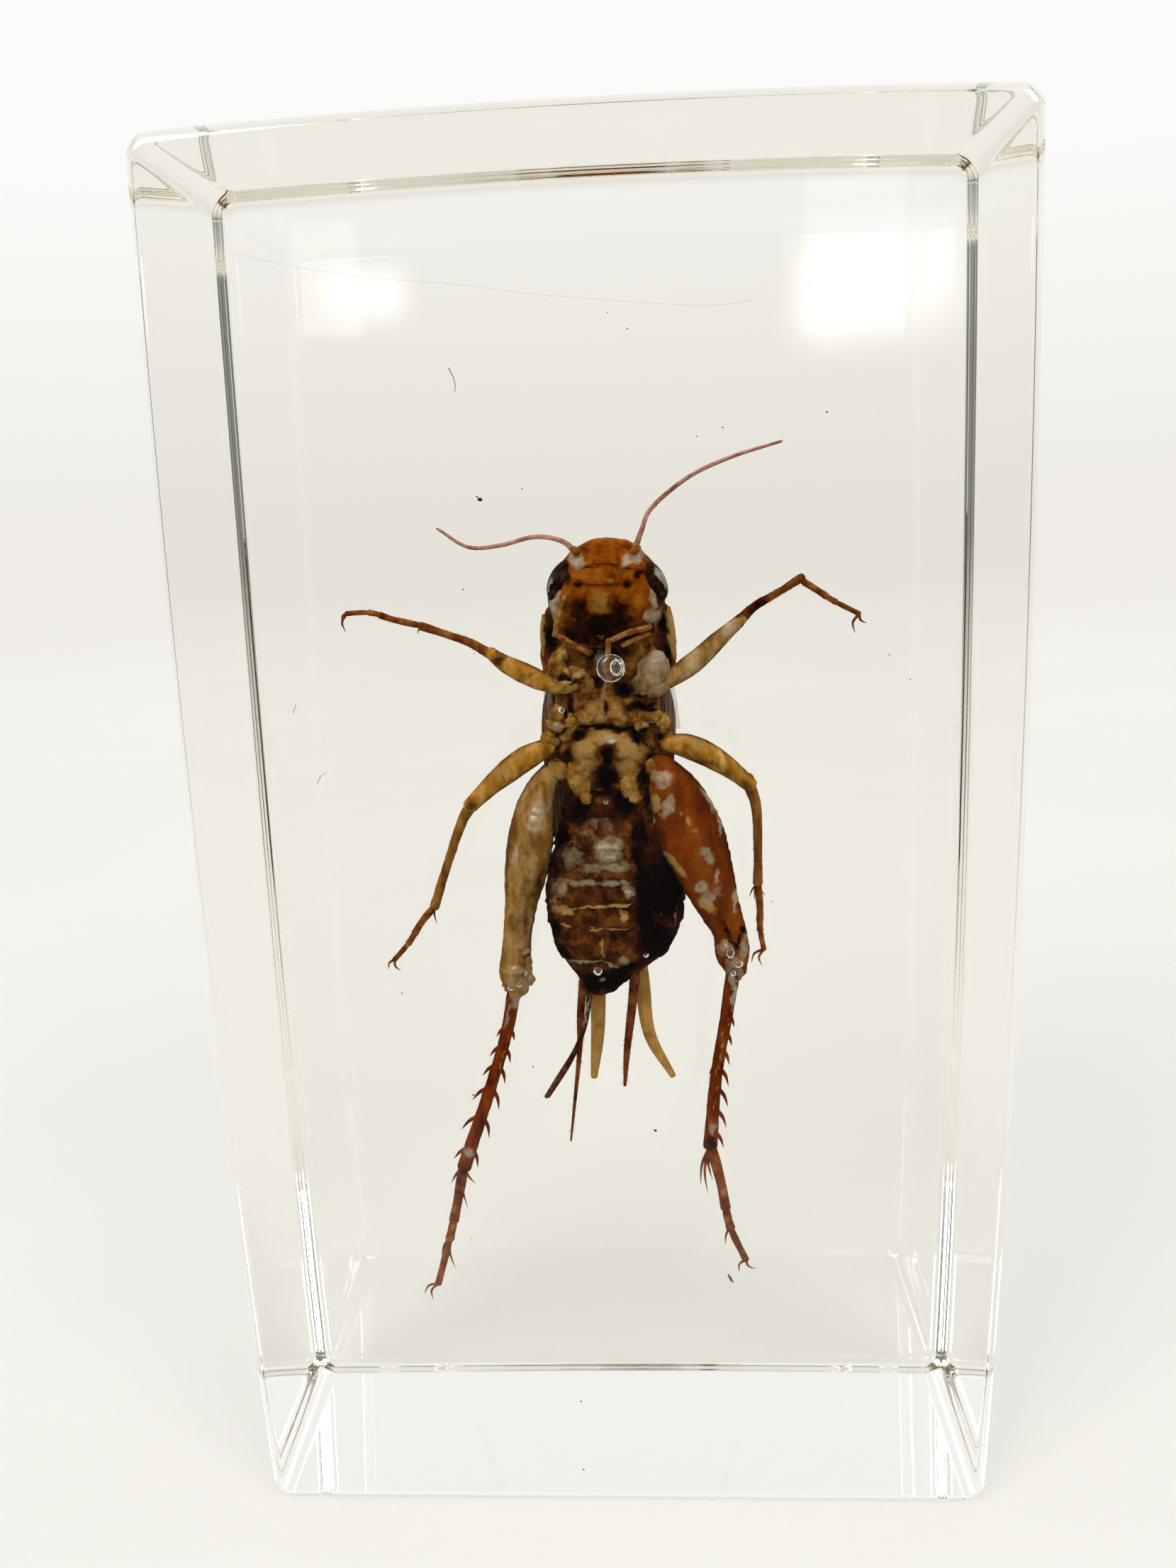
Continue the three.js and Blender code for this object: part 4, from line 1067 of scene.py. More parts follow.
SPINE_BASE = 0.15
SPINE_SLANT = 0.6
SPINE_STRETCH = 1.15
SPINES_FROM, SPINES_TO = 0.3, 0.92
SPINE_BEND = 0.1
SPINE_COLLAR, COLLAR_PLACE = (0.15, 0.15, 0.12), 0.95


def shin_spines(leg):
    shape = Shape()
    shin = leg["tibia"][1]
    for side, lengths in leg["spine_rows"]:
        t = np.linspace(SPINES_FROM, SPINES_TO, len(lengths))
        centres, tangents, across = limb_frames(leg["tibia_path"], t)
        for i, length in enumerate(lengths):
            way = -side * across[i] * math.sin(SPINE_SLANT) + tangents[i] * math.cos(SPINE_SLANT)
            tip = centres[i] + way * (SPINE_STRETCH * length + shin)
            shape.join(spike(centres[i], tip, SPINE_BASE, -SPINE_BEND * side, sides=9))
            collar = centres[i] + way * shin * COLLAR_PLACE
            shape.join(ball(collar, SPINE_COLLAR, rings=6, sides=8))
    return shape


RIBS, RIB_DEPTH = 5, 0.02  # how many ribs run down a thigh, and how high they are
FEATHERS, FEATHER_SLANT, FEATHER_DEPTH = 26, 1.4, 0.012  # a jumping thigh's feather pattern


def thigh(leg, name):
    """A femur, ribbed lengthwise, with the feather pattern of a jumping leg on the hind pair."""
    hind = "femur_depth" in leg
    sides, unevenness = (56, 0.03) if hind else (32, 0.02)
    path = leg["femur_path"]
    shape = tube(path, leg["femur"], leg.get("femur_depth", 1.0), sides, 0.07, edge=0.55)
    line, nearest = nearest_on(path, shape.points)
    centre = line[nearest]
    outward = shape.points - centre
    turn = np.arctan2(outward[:, 1], outward[:, 0])
    ribs = RIB_DEPTH * np.cos(RIBS * turn)
    if hind:
        along = nearest / len(line)
        place = along * FEATHERS - FEATHER_SLANT * np.abs(np.sin(turn))
        fade = np.clip(3 * along * (1 - along) * 2, 0, 1)
        ribs = ribs + FEATHER_DEPTH * np.sin(2 * math.pi * place) * fade
    shape.points = centre + outward * (1 + ribs)[:, None]
    return shape.roughen(unevenness, 0.7, len(name))


KNEE_SWELL = 1.15


def shank(leg):
    shape = tube(leg["tibia_path"], leg["tibia"], sides=24, spacing=0.08, edge=0.5)
    knob = leg["tibia"][0] * KNEE_SWELL
    return shape.join(ball(leg["tibia_path"][0], (knob, knob, knob))).roughen(0.02, 0.5, 3)


FOOT_CUTS = [0, 0.52, 0.68, 1.0]  # where one foot joint ends and the next begins
FOOT_NECK, FOOT_SWELL = 0.78, 1.2
CLAW_BASE, CLAW_BEND = 0.09, 0.22
SPUR_BASE, LONG_SPUR_BASE, SPUR_BEND = 0.07, 0.11, 0.08


def foot(leg):
    """Three foot joints, each wider at its far end, with claws and spurs."""
    shape = Shape()
    path = leg["foot_path"]
    for start, end in zip(FOOT_CUTS, FOOT_CUTS[1:]):
        t = np.linspace(start, end, 4)
        thick = lerp_list(leg["foot"], t)
        thick[0] *= FOOT_NECK
        thick[-1] *= FOOT_SWELL
        shape.join(tube(spline(path, t), thick, sides=14, spacing=0.06, edge=0.45))
    spur_base = LONG_SPUR_BASE if "spine_rows" in leg else SPUR_BASE
    for claw in leg["claws"]:
        shape.join(spike(path[-1], claw, CLAW_BASE, CLAW_BEND))
    for spur in leg["spurs"]:
        shape.join(spike(leg["tibia_path"][-1], spur, spur_base, SPUR_BEND))
    for spur in leg.get("foot_spurs", []):
        shape.join(spike(path[2], spur, CLAW_BASE, SPUR_BEND))
    return shape


# Whitish lumps of trapped air and resin round the hind knees: centre and half sizes.
KNEE_LUMPS = {
    "left_hind": [
        ((-5.65, -0.9, 30.3), (0.45, 0.4, 0.4)), ((-4.8, -0.9, 30.7), (0.4, 0.35, 0.5)),
        ((-5.2, -1.0, 29.6), (0.5, 0.4, 0.4)), ((-4.65, -0.8, 29.7), (0.3, 0.3, 0.4)),
        ((-5.85, -0.7, 29.3), (0.3, 0.3, 0.35)), ((-5.4, -0.8, 28.9), (0.4, 0.35, 0.4)),
        ((-5.1, -1.1, 31.4), (0.65, 0.35, 0.25)),
    ],
    "right_hind": [
        ((6.45, -1.2, 31.4), (0.45, 0.35, 0.45)), ((7.5, -1.0, 31.5), (0.27, 0.3, 0.8)),
        ((6.95, -1.1, 30.6), (0.5, 0.4, 0.4)), ((7.2, -0.9, 29.9), (0.33, 0.3, 0.4)),
        ((6.7, -1.0, 30.1), (0.25, 0.3, 0.3)),
    ],
}
CREASE_SHADE_DEPTH = 0.8  # how dark the painted shade in the creases between the lobes of a leg's base is
CREASE_SHADE_SPREAD = 0.62  # and how far up each lobe it reaches


def coxa(name, seed):
    """A leg's base, as the creased lobes it dried into, with painted shade round each lobe's rim.
    """
    shape = balls(COXA_LOBES[name], 26, 36).roughen(0.09, 0.45, seed)
    # Painted shade: each lobe darkens where it faces sideways, in the creases between lobes.
    crease_shade = 1 - np.abs(shape.normals()[:, 1]) / CREASE_SHADE_SPREAD
    shape.marks["dark"] = CREASE_SHADE_DEPTH * np.clip(crease_shade, 0, 1)
    return shape


# The hairs of each part of a leg: the limb they grow on, how many, how long, first seed.
LEG_HAIRS = {
    "femur": ("femur", 50, 0.11, 10),
    "shin": ("tibia", 90, 0.14, 20),
    "foot": ("foot", 50, 0.14, 30),
}
HIND_SHIN_HAIR = 0.17


def add_legs(skins):
    for number, (name, leg) in enumerate(LEGS.items()):
        kind = "hind" if name.endswith("hind") else "slim"
        parts = {
            "coxa": coxa(name, number),
            "femur": thigh(leg, name),
            "shin": shank(leg),
            "foot": foot(leg),
        }
        if kind == "hind":
            parts["shin"].join(shin_spines(leg))
            lumps = balls(KNEE_LUMPS[name], 24, 32, silver=0.52)
            parts["femur"].join(lumps.roughen(0.1, 0.22, 9))
        for part, (limb, count, length, seed) in LEG_HAIRS.items():
            if (kind, part) == ("hind", "shin"):
                length = HIND_SHIN_HAIR
            hair = hairs(leg[limb + "_path"], leg[limb], count, length, number + seed)
            parts[part].join(hair)
        for part, shape in parts.items():
            shape.mark(**{mark: table.get(name, []) for mark, table in LEG_MARKS.items()})
            own = f"{name}_{part}"
            cricket_piece(own, shape, skins.get(own) or skins[f"{kind}_{part}"])


BELLY_TOP, BELLY_END = 42.0, 28.0
PLATE_STEP = 0.13  # how far the end of a plate overhangs the next


def abdomen_shape():
    """The belly with a small overhang at the end of each plate."""
    shape = loft(ABDOMEN, 200, 0.05)
    z = shape.points[:, 2]
    centre = np.interp(z, [s[0] for s in ABDOMEN[::-1]], [s[1] for s in ABDOMEN[::-1]])
    lift = np.zeros(len(z))
    for top, end in zip([BELLY_TOP] + PLATE_ENDS, PLATE_ENDS + [BELLY_END]):
        inside = (z <= top) & (z > end)
        lift[inside] = PLATE_STEP * (1 - (z[inside] - end) / (top - end)) - PLATE_STEP / 2
    away = shape.points - np.stack([centre, np.zeros(len(z)), z], 1)
    length = np.maximum(np.linalg.norm(away, axis=1), 0.3)
    shape.points += away / length[:, None] * lift[:, None]
    return shape


# Tilted ellipsoids, as centre, half sizes and tilt.
FEELER_SOCKETS = [
    ((-1.05, -1.2, 53.5), (0.36, 0.34, 0.22), 35),
    ((2.05, -1.2, 53.45), (0.36, 0.34, 0.22), -35),
]
EYES = [
    ((-1.85, -0.55, 51.95), (0.72, 1.25, 1.22), 28),
    ((2.88, -0.55, 51.8), (0.72, 1.25, 1.22), -28),
]
TAIL_KNOB = ((1.0, -0.2, 30.0), (0.7, 0.5, 0.45), 25)
# The turned-up edges of the pronotum: path, half thicknesses, sides and how pale.
SHIELD_EDGES = [
    (
        [[3.75, -0.5, 50.4], [3.8, -0.6, 49.3], [3.98, -0.5, 47.7]],
        [0.08, 0.22, 0.24, 0.08],
        20,
        0.8,
    ),
    (
        [[-2.95, -0.4, 50.2], [-3.0, -0.5, 49.2], [-3.05, -0.4, 48.0]],
        [0.08, 0.16, 0.15, 0.06],
        16,
        0.75,
    ),
]


def add_body(skins):
    head = loft(HEAD, 220, 0.05).emboss(FACE_RELIEF).roughen(0.05, 0.6, 1)
    head.mark(dark=FACE_DARK, pale=FACE_PALE, silver=FACE_FILM)
    head.join(balls(FEELER_SOCKETS, 16, 24, pale=0.45))
    cricket_piece("head", head, skins["head"])
    cricket_piece("eyes", balls(EYES, 40, 56).mark(silver=EYE_FILM_AND_HIGHLIGHT), skins["eyes"])

    palps = Shape()
    for path, radii, pale in PALPS:
        palps.join(tube(path, radii, spacing=0.05, edge=0.45, pale=pale))
    cricket_piece("mouth_feelers", palps.roughen(0.02, 0.3, 4), skins["palps"])

    shield = loft(PRONOTUM, 160, 0.06).roughen(0.06, 0.9, 5)
    for path, radii, sides, pale in SHIELD_EDGES:
        shield.join(tube(path, radii, 0.7, sides, spacing=0.06, edge=0.5, pale=pale))
    cricket_piece("pronotum", shield.mark(dark=SHIELD_DARK), skins["pronotum"])

    chest = loft(THORAX, 200, 0.05).emboss(THORAX_RELIEF).roughen(0.08, 0.5, 6)
    chest.mark(dark=THORAX_DARK, pale=THORAX_PALE, silver=THORAX_FILM_AND_HIGHLIGHT)
    cricket_piece("thorax", chest, skins["thorax"])

    belly = abdomen_shape().emboss(BELLY_RELIEF).roughen(0.06, 0.5, 7)
    belly.mark(dark=BELLY_DARK, pale=BELLY_PALE, silver=BELLY_FILM)
    cricket_piece("abdomen", belly.join(ball(*TAIL_KNOB)), skins["abdomen"])


# The creased wing edges at each side: x, y, z of the first, and the share of a step in x.
WING_FOLDS = [
    [(3.35, -0.5, 46.3, 1.0), (3.5, -0.4, 45.2, 1.0), (3.72, -0.3, 43.8, 0.9)],
    [(-2.75, -0.5, 46.2, -0.6), (-2.8, -0.4, 45.1, -0.6), (-2.85, -0.3, 44.0, -0.5)],
]
FOLD_COUNT = 6
FOLD_STEP = 0.11
FOLD_RADII = [0.05, 0.06, 0.05]
PLEATS, PLEAT_DEPTH, PLEAT_FLATNESS = 7, 0.05, 2.5
VEINS, VEIN_SLANT, VEIN_HEIGHT = 7, 0.25, 0.05
OVERLAP_X, OVERLAP_SLANT, OVERLAP_EDGE = 0.6, 0.03, 14  # where one wing cover lies on the other
OVERLAP_HEIGHT = 0.14
COVER_BACK = 0.6  # y from which the wing covers face the back
COVER_SHIFT = -0.1


def add_wings(skins):
    covers = loft(FORE_WINGS, 160, 0.08)
    x, y, z = covers.points.T
    veins = VEIN_HEIGHT * np.sin(x * VEINS + VEIN_SLANT * z)
    past_edge = (x - OVERLAP_X - OVERLAP_SLANT * (z - 40)) * OVERLAP_EDGE
    overlap = OVERLAP_HEIGHT / (1 + np.exp(-past_edge))
    covers.points[:, 1] += (veins + overlap) * (y > COVER_BACK) + COVER_SHIFT
    cricket_piece("wing_covers", covers.roughen(0.03, 0.6, 8), skins["wing_covers"])

    folds = Shape()
    for i in range(FOLD_COUNT):
        step = i * FOLD_STEP
        for side in WING_FOLDS:
            path = [[x + step * share, y + step, z] for x, y, z, share in side]
            folds.join(tube(path, FOLD_RADII, depth=2.5, sides=8, spacing=0.1))
    cricket_piece("wing_folds", folds, skins["wing_folds"])

    tips = Shape()
    for name in ("left_hind_wing_tip", "right_hind_wing_tip"):
        path, radii = APPENDAGES[name]
        blade = tube(path, radii, depth=0.4, sides=48, spacing=0.07)
        line, nearest = nearest_on(path, blade.points)
        offset = blade.points - line[nearest]
        turn = np.arctan2(offset[:, 1] * PLEAT_FLATNESS, offset[:, 0])
        blade.points = line[nearest] + offset * (1 + PLEAT_DEPTH * np.cos(PLEATS * turn))[:, None]
        tips.join(blade)
    cricket_piece("hind_wing_tips", tips, skins["wing_tips"])


# Limbs made of short joints: sides and step of the tube, length and depth of a joint, and
# for the hairs their count, length, seed, lean and thickness.
JOINTED = {
    "antenna": ((12, 0.04), (0.2, 0.05), (100, 0.05, 40, 0.9, 0.008)),
    "cercus": ((20, 0.05), (0.35, 0.03), (140, 0.28, 50, 0.6, 0.012)),
}
SECOND_BLADE = (0.1, 0.12, 0.0)  # how far the ovipositor's second blade lies from its first


def add_feelers_and_tail(skins):
    for kind, (fineness, joint, hair) in JOINTED.items():
        for side in ("left", "right"):
            path, radii = APPENDAGES[f"{side}_{kind}"]
            limb = ringed(tube(path, radii, 1.0, *fineness), path, *joint)
            limb.join(hairs(path, radii, *hair))
            cricket_piece(f"{side}_{kind}", limb, skins[kind])
    path, radii = APPENDAGES["ovipositor"]
    needle = tube(path, radii, spacing=0.05)
    second = tube(np.array(path) + SECOND_BLADE, radii, depth=0.8, sides=14, spacing=0.06)
    needle.join(second)
    cricket_piece("ovipositor", needle.mark(silver=OVIPOSITOR_FILM), skins["ovipositor"])


# Chitin by the part it is on: tones from dark to light, and how they lie.
OCHRE_TONES = [(104, 62, 14), (160, 116, 46), (196, 162, 98)]
FOOT_TONES = [(84, 36, 8), (130, 68, 20), (164, 104, 46)]
FORE_SHIN = [(80, 32, 6), (120, 62, 16), (156, 100, 44)]
KNEE_FILM = (180, 160, 132)
ALONG = {"stretch": (1.0, 1.0, 0.4)}  # blotches drawn out along a limb
CHITINS = {
    "head": (
        [(94, 37, 2), (134, 67, 5), (156, 91, 18)],
        1.0,
        {"glow": 0.05, "pale": (150, 108, 40), "dark": (26, 6, 2)},
    ),
    "eyes": ([(14, 6, 4), (38, 19, 13), (72, 45, 34)], 0.5, {"rough": (0.2, 0.35), "relief": 0.6}),
    "palps": ([(84, 40, 14), (140, 88, 36), (180, 132, 72)], 0.5, {}),
    "pronotum": ([(58, 22, 8), (108, 58, 22), (160, 110, 56)], 0.9, {}),
    "thorax": ([(54, 22, 3), (118, 70, 15), (160, 112, 44)], 0.7, {}),
    "abdomen": (
        [(28, 10, 2), (74, 36, 6), (118, 70, 24)],
        0.7,
        {"relief": 0.2, "glow": 0.05, "film": (176, 160, 126)},
    ),
    "slim_coxa": (OCHRE_TONES, 0.8, {}),
    "right_fore_coxa": ([(104, 78, 44), (148, 122, 84), (178, 156, 120)], 0.7, {}),
    "hind_coxa": (OCHRE_TONES, 0.9, {}),
    "slim_femur": ([(134, 85, 20), (188, 134, 48), (224, 184, 110)], 0.9, {"glow": 0.4, **ALONG}),
    "right_fore_femur": (
        [(120, 86, 40), (164, 128, 76), (200, 170, 126)],
        0.9,
        {"glow": 0.4, **ALONG},
    ),
    "left_hind_femur": (
        [(98, 62, 18), (146, 102, 42), (184, 152, 98)],
        1.2,
        {"glow": 0.2, "film": KNEE_FILM, **ALONG},
    ),
    "hind_femur": (
        [(78, 28, 2), (120, 54, 4), (150, 80, 16)],
        1.4,
        {"glow": 0.1, "film": KNEE_FILM, **ALONG},
    ),
    "slim_shin": ([(98, 56, 14), (144, 94, 36), (176, 128, 66)], 0.8, {"glow": 0.4, **ALONG}),
    "left_fore_shin": (FORE_SHIN, 0.8, {"glow": 0.2, **ALONG}),
    "right_fore_shin": (FORE_SHIN, 0.8, {"glow": 0.2, **ALONG}),
    "hind_shin": ([(78, 24, 1), (116, 46, 3), (148, 78, 18)], 0.8, {"glow": 0.15, **ALONG}),
    "slim_foot": (FOOT_TONES, 0.6, {"glow": 0.15}),
    "hind_foot": (FOOT_TONES, 0.7, {"glow": 0.3}),
    "antenna": ([(140, 92, 80), (172, 126, 112), (196, 156, 140)], 0.6, {"glow": 0.2}),
    "cercus": ([(70, 28, 8), (114, 56, 19), (144, 88, 40)], 0.8, {"glow": 0.2}),
    "ovipositor": ([(44, 16, 8), (80, 38, 20), (122, 88, 66)], 0.6, {"glow": 0.1}),
}
# Wings by part: colour, veins, how solid they look, how see-through, how strong the streaks.
WING_SKINS = {
    "wing_covers": ((150, 104, 58), (78, 42, 20), 0.85, 0.0, 1.0),
    "wing_folds": ((252, 250, 244), (214, 202, 180), 0.35, 0.75, 1.0),
    "wing_tips": ((230, 190, 108), (132, 82, 30), 0.5, 0.0, 0.25),
}


def cricket_skins():
    skins = {}
    for part, (tones, patch, look) in CHITINS.items():
        skins[part] = chitin(f"{part}_chitin", tones, patch, **look)
    for part, look in WING_SKINS.items():
        skins[part] = wing_skin(f"{part}_skin", *look)
    return skins


# ------------------------------------------------------- bubbles and dust
# Each bubble: centre, half sizes.
BUBBLES = [
    ((0.62, -2.95, 47.45), (0.76, 0.22, 0.76)), ((0.95, -3.3, 47.5), (0.38, 0.2, 0.46)),
    ((-2.05, -2.75, 45.3), (0.19, 0.15, 0.19)), ((-0.66, -1.95, 30.4), (0.26, 0.2, 0.28)),
    ((0.12, -2.3, 40.15), (0.15, 0.12, 0.15)), ((2.05, -2.0, 31.3), (0.16, 0.12, 0.16)),
    ((-5.5, -1.42, 30.05), (0.27, 0.14, 0.3)), ((-4.9, -1.4, 30.25), (0.22, 0.12, 0.2)),
    ((-5.65, -1.2, 29.3), (0.2, 0.12, 0.2)), ((-5.15, -1.5, 29.55), (0.16, 0.1, 0.18)),
    ((6.75, -1.62, 31.25), (0.22, 0.12, 0.32)), ((7.2, -1.5, 30.55), (0.26, 0.12, 0.22)),
    ((6.9, -1.4, 30.0), (0.16, 0.1, 0.2)),
]

# Each speck: centre, half size, tilt. Each fibre: its path and half thickness.
SPECKS = [
    ((-5.96, -1.0, 56.3), 0.13, 20), ((-6.1, -1.1, 56.45), 0.06, 0),
    ((2.33, -1.0, 20.31), 0.09, 0), ((-8.19, -1.0, 22.68), 0.06, 0), ((-2.67, -1.0, 2.4), 0.06, 0),
    ((-7.1, 3.0, 48.0), 0.04, 0), ((9.4, 4.0, 33.0), 0.04, 0), ((12.2, 2.0, 60.1), 0.05, 0),
    ((-12.8, 5.0, 27.5), 0.05, 0), ((1.9, 6.0, 65.0), 0.04, 0), ((-3.72, -1.0, 56.77), 0.04, 0),
    ((-7.1, -1.0, 51.71), 0.05, 10), ((6.67, -1.0, 59.43), 0.045, 0),
    ((5.36, -1.0, 59.04), 0.035, 0), ((15.29, -1.0, 47.55), 0.045, 0),
    ((16.4, -1.0, 46.22), 0.04, 0), ((0.99, -1.0, 65.19), 0.04, 0), ((-4.62, -1.0, 24.4), 0.04, 0),
    ((-8.79, -1.0, 13.5), 0.05, 0),
]
FIBRES = [
    ([[-7.2, -1.0, 62.9], [-6.97, -1.0, 62.4], [-6.9, -1.0, 62.0], [-6.95, -1.0, 61.7]], 0.02),
    ([[-15.8, -1.0, 41.4], [-15.6, -1.0, 41.8], [-15.3, -1.0, 42.0]], 0.015),
    ([[-17.1, 0.5, 45.2], [-16.9, 0.5, 45.7]], 0.015),
]
BROKEN_CLAW = [[6.44, -0.4, 10.75], [6.58, -0.4, 10.48], [6.62, -0.4, 10.36], [6.78, -0.4, 10.26]]
# Hairline scratches on the front face, drawn just under the polish: x, z.
SCRATCHES = [
    [[-15.72, 67.5], [-10.58, 66.38], [-5.7, 65.78], [-1.93, 65.18], [5.07, 64.41], [7.74, 64.5]],
    [[9.87, 65.21], [10.53, 64.98], [11.2, 64.8]],
    [[12.52, 64.46], [13.05, 64.36], [13.58, 64.22]],
]
SCRATCH_DEPTH = -10.42
SCRATCH_HALF = 0.011
SCRATCH_TAPER = (0.5, 1, 0.5)
DUST_TONES = [(40, 28, 20), (84, 64, 48), (120, 96, 76)]
CLAW_TONE = (128, 62, 30)


def add_dust():
    """Specks, fibres and a broken claw tip that the resin caught."""
    shape = Shape()
    for centre, size, tilt in SPECKS:
        speck = ball(centre, (size, size * 0.7, size * 0.8), tilt, rings=8, sides=10)
        shape.join(speck.roughen(size * 0.4, size * 1.5, size))
    for path, thickness in FIBRES:
        radii = [thickness, thickness, thickness * 0.6]
        shape.join(tube(path, radii, sides=6, spacing=0.06, dome=0))
    shape.join(tube(BROKEN_CLAW, [0.05, 0.08, 0.06, 0.02], sides=12, spacing=0.03, pale=1.0))
    piece("dust_in_resin", shape, chitin("dust", DUST_TONES, 0.3, pale=CLAW_TONE))


def add_scratches():
    shape = Shape()
    for line in SCRATCHES:
        path = [[x, SCRATCH_DEPTH, z] for x, z in line]
        radii = [SCRATCH_HALF * share for share in SCRATCH_TAPER]
        shape.join(tube(path, radii, sides=6, spacing=0.2, dome=0))
    scratch = wing_skin("scratch_in_polish", (196, 192, 182), (160, 156, 146), 0.4, 0.86)
    piece("front_scratches", shape, scratch)


# ------------------------------------------------------------------ the stage
FLOOR_DROP = 0.0002
FLOOR_SIZE = 12.0
FLOOR_GRADE = (-0.06, -0.02)  # mirrored light finds the table dark here, as if under a black flag
FLOOR_FADE = (0.1, 0.9)  # distances over which the table melts into the wall's colour
FLOOR_CLOUD, CLOUD_RANGE = 9.0, (0.94, 1.0)  # how its brightness varies from place to place
FLOOR_TONE = (0.15, 0.148, 0.142, 1)
FLOOR_ROUGHNESS = 0.7
FLOOR_GLOW = (0.655, 0.64, 0.604, 1)  # it is lit from below like a light table
BLACK = (0, 0, 0, 1)
HAZE_TOP = 0.24  # sine of the elevation up to which the horizon's tone reaches
CEILING = (0.45, 0.9)  # and those between which the wall gives way to the ceiling
SKY_MAP_SIZE = 1024
GREEN_SHARE, BLUE_SHARE = 0.99, 0.97  # the soft lights are faintly warm
WALL_TURN = 0.35  # how gradually the wall behind gives way to the black flag in front
SKY_BEHIND = (0.97, 0.962, 0.945, 1)
SKY_AT_HORIZON = (0.862, 0.838, 0.8, 1)
SKY_IN_FRONT = (0.02, 0.0195, 0.019, 1)  # the black flag, mirrored in the outer faces
SKY_INSIDE = (0.15, 0.16, 0.152, 1)  # and in the inner ones, for light no skin has scattered
SKY_ABOVE = (0.85, 0.86, 0.88, 1)


def turned(tree):
    """1 for light that was mirrored or scattered on its way, 0 where a thing is seen directly."""
    path = node(tree, "ShaderNodeLightPath").outputs
    turns = maths(tree, "ADD", path["Glossy Depth"], path["Diffuse Depth"])
    return remap(tree, turns, 0.0, 1.0)


def mirrored(tree, tone):
    """`tone` where seen directly; in mirrors, and to matte skins, the dark of a black flag."""
    path = node(tree, "ShaderNodeLightPath").outputs
    unscattered = maths(tree, "LESS_THAN", path["Diffuse Depth"], 0.5)
    crossed = remap(tree, path["Transmission Depth"], 0.0, 1.0)
    inside = maths(tree, "MULTIPLY", crossed, unscattered)
    return mix(tree, turned(tree), tone, mix(tree, inside, SKY_IN_FRONT, SKY_INSIDE))


def wall_tone(tree, facing, wall):
    """The wall's tone in a direction, by how far it faces back (+1) or to the front (-1)."""
    behind = remap(tree, facing, -WALL_TURN, WALL_TURN, curve="SMOOTHSTEP")
    return mix(tree, behind, mirrored(tree, wall), wall)


def pale_floor():
    """A plain pale table top; a black flag over its front part keeps mirrored light dark."""
    material, tree = blank("pale_floor")
    place = node(tree, "ShaderNodeTexCoord").outputs["Object"]
    cloud = remap(tree, noise_of(tree, place, FLOOR_CLOUD, 3.0), *NOISE_RANGE, *CLOUD_RANGE)
    axes = node(tree, "ShaderNodeSeparateXYZ", {0: place}).outputs
    distance = node(tree, "ShaderNodeVectorMath", {0: place}, operation="LENGTH").outputs["Value"]
    far = remap(tree, distance, *FLOOR_FADE, curve="SMOOTHSTEP")
    facing = maths(tree, "DIVIDE", axes["Y"], distance)
    in_front = remap(tree, axes["Y"], FLOOR_GRADE[1], FLOOR_GRADE[0])
    near = mix(tree, in_front, FLOOR_GLOW, mirrored(tree, FLOOR_GLOW))
    matte = mix(tree, in_front, FLOOR_TONE, mirrored(tree, FLOOR_TONE))
    shader = {
        "Base Color": mix(tree, far, matte, BLACK),
        "Roughness": FLOOR_ROUGHNESS,
        "Specular IOR Level": 0.0,
        "Emission Color": mix(tree, far, near, wall_tone(tree, facing, SKY_AT_HORIZON)),
        "Emission Strength": blend_values(tree, far, cloud, 1.0),
    }
    shade(tree, "ShaderNodeBsdfPrincipled", shader)
    mesh = bpy.data.meshes.new("floor")
    half = FLOOR_SIZE / 2
    corners = [(-half, -half), (half, -half), (half, half), (-half, half)]
    mesh.from_pydata([(x, y, -FLOOR_DROP) for x, y in corners], [], [(0, 1, 2, 3)])
    mesh.materials.append(material)
    floor = bpy.data.objects.new("floor", mesh)
    bpy.context.scene.collection.objects.link(floor)


# Soft boxes and windows: azimuth and elevation seen from the block's front, half sizes,
# soft edge (all in degrees) and brightness.
SOFT_LIGHTS = [
    (-43, 42, 17, 15, 4, 17.0),
    (48, 40, 16, 15, 4, 13.0),
    (9.3, 10.3, 2.2, 3.1, 0.25, 1.1),
    (10.5, 9.1, 3.3, 2.0, 1.4, 3.8),
    (-13.9, 10.1, 1.35, 2.3, 0.25, 1.2),
    (-12.3, 9.5, 1.6, 0.9, 0.9, 3.2),
]


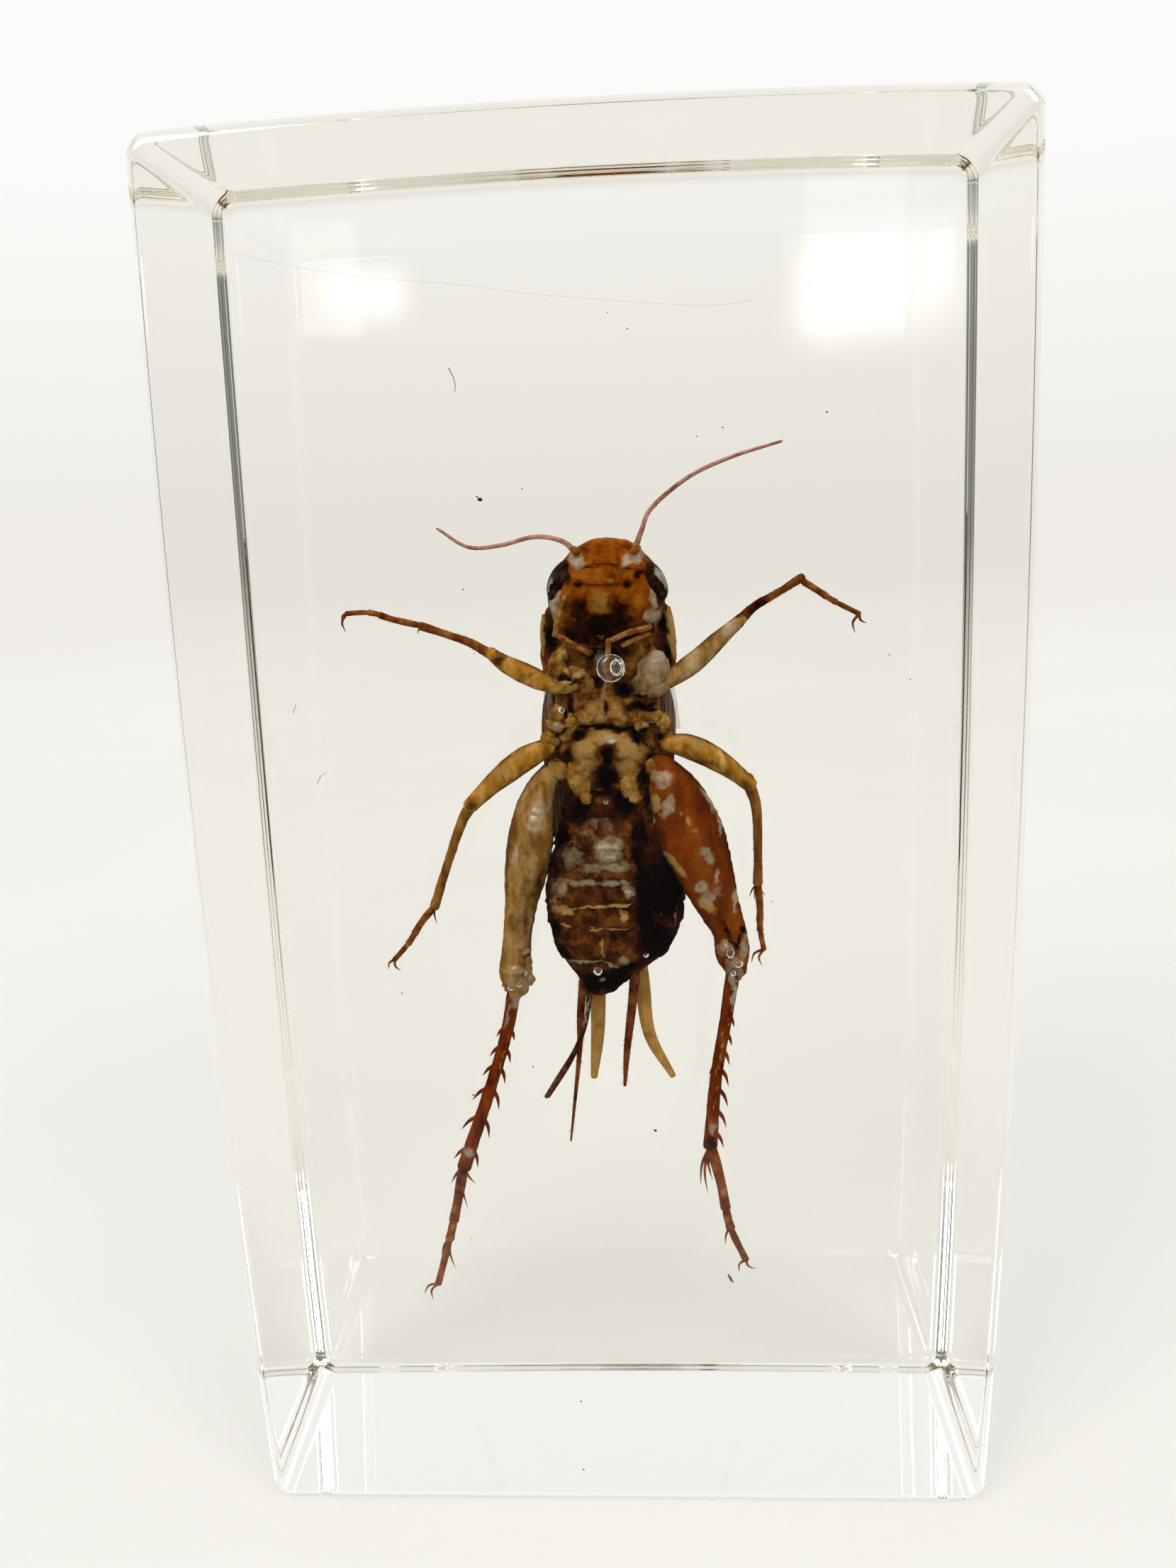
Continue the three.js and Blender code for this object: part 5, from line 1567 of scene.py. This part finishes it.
def angle_share(tree, value, centre, half, edge):
    """1 where an angle lies within `half` degrees of the centre, fading over the edge."""
    size = maths(tree, "ABSOLUTE", maths(tree, "SUBTRACT", value, math.radians(centre)))
    low, high = math.radians(half + edge), math.radians(half - edge)
    return remap(tree, size, low, high, curve="SMOOTHSTEP")


def studio_sky():
    """A bright wall all round; soft lights and a black flag show only in turned light."""
    world = bpy.data.worlds.new("studio")
    world.use_nodes = True
    tree = world.node_tree
    tree.nodes.clear()
    way = node(tree, "ShaderNodeTexCoord").outputs["Generated"]
    axes = node(tree, "ShaderNodeSeparateXYZ", {0: way}).outputs
    wall = mix(tree, remap(tree, axes["Z"], 0.0, HAZE_TOP), SKY_AT_HORIZON, SKY_BEHIND)
    colour = wall_tone(tree, axes["Y"], wall)
    colour = mix(tree, remap(tree, axes["Z"], *CEILING), colour, SKY_ABOVE)
    azimuth = maths(tree, "ARCTAN2", axes["X"], maths(tree, "MULTIPLY", axes["Y"], -1.0))
    height = maths(tree, "ARCSINE", axes["Z"])
    for turn, rise, half_width, half_height, edge, brightness in SOFT_LIGHTS:
        across = angle_share(tree, azimuth, turn, half_width, edge)
        up = angle_share(tree, height, rise, half_height, edge)
        share = maths(tree, "MULTIPLY", maths(tree, "MULTIPLY", across, up), turned(tree))
        tone = (brightness, brightness * GREEN_SHARE, brightness * BLUE_SHARE, 1)
        colour = mix(tree, share, colour, tone)
    light = node(tree, "ShaderNodeBackground", {"Color": colour, "Strength": 1.0})
    node(tree, "ShaderNodeOutputWorld", {"Surface": light.outputs[0]})
    world.cycles.sampling_method = "MANUAL"
    world.cycles.sample_map_resolution = SKY_MAP_SIZE
    bpy.context.scene.world = world


def set_light_paths():
    """Enough bounces for light to cross the block several times; plain display colours."""
    scene = bpy.context.scene
    scene.cycles.max_bounces = 24
    scene.cycles.glossy_bounces = 16
    scene.cycles.transmission_bounces = 24
    scene.cycles.diffuse_bounces = 3
    scene.view_settings.view_transform = "Standard"


# ------------------------------------------------------------------- build it
set_light_paths()
resin_block()
skins = cricket_skins()
add_body(skins)
add_wings(skins)
add_legs(skins)
add_feelers_and_tail(skins)
piece("air_bubbles", balls(BUBBLES, 32, 44), air())
add_dust()
add_scratches()
pale_floor()
studio_sky()
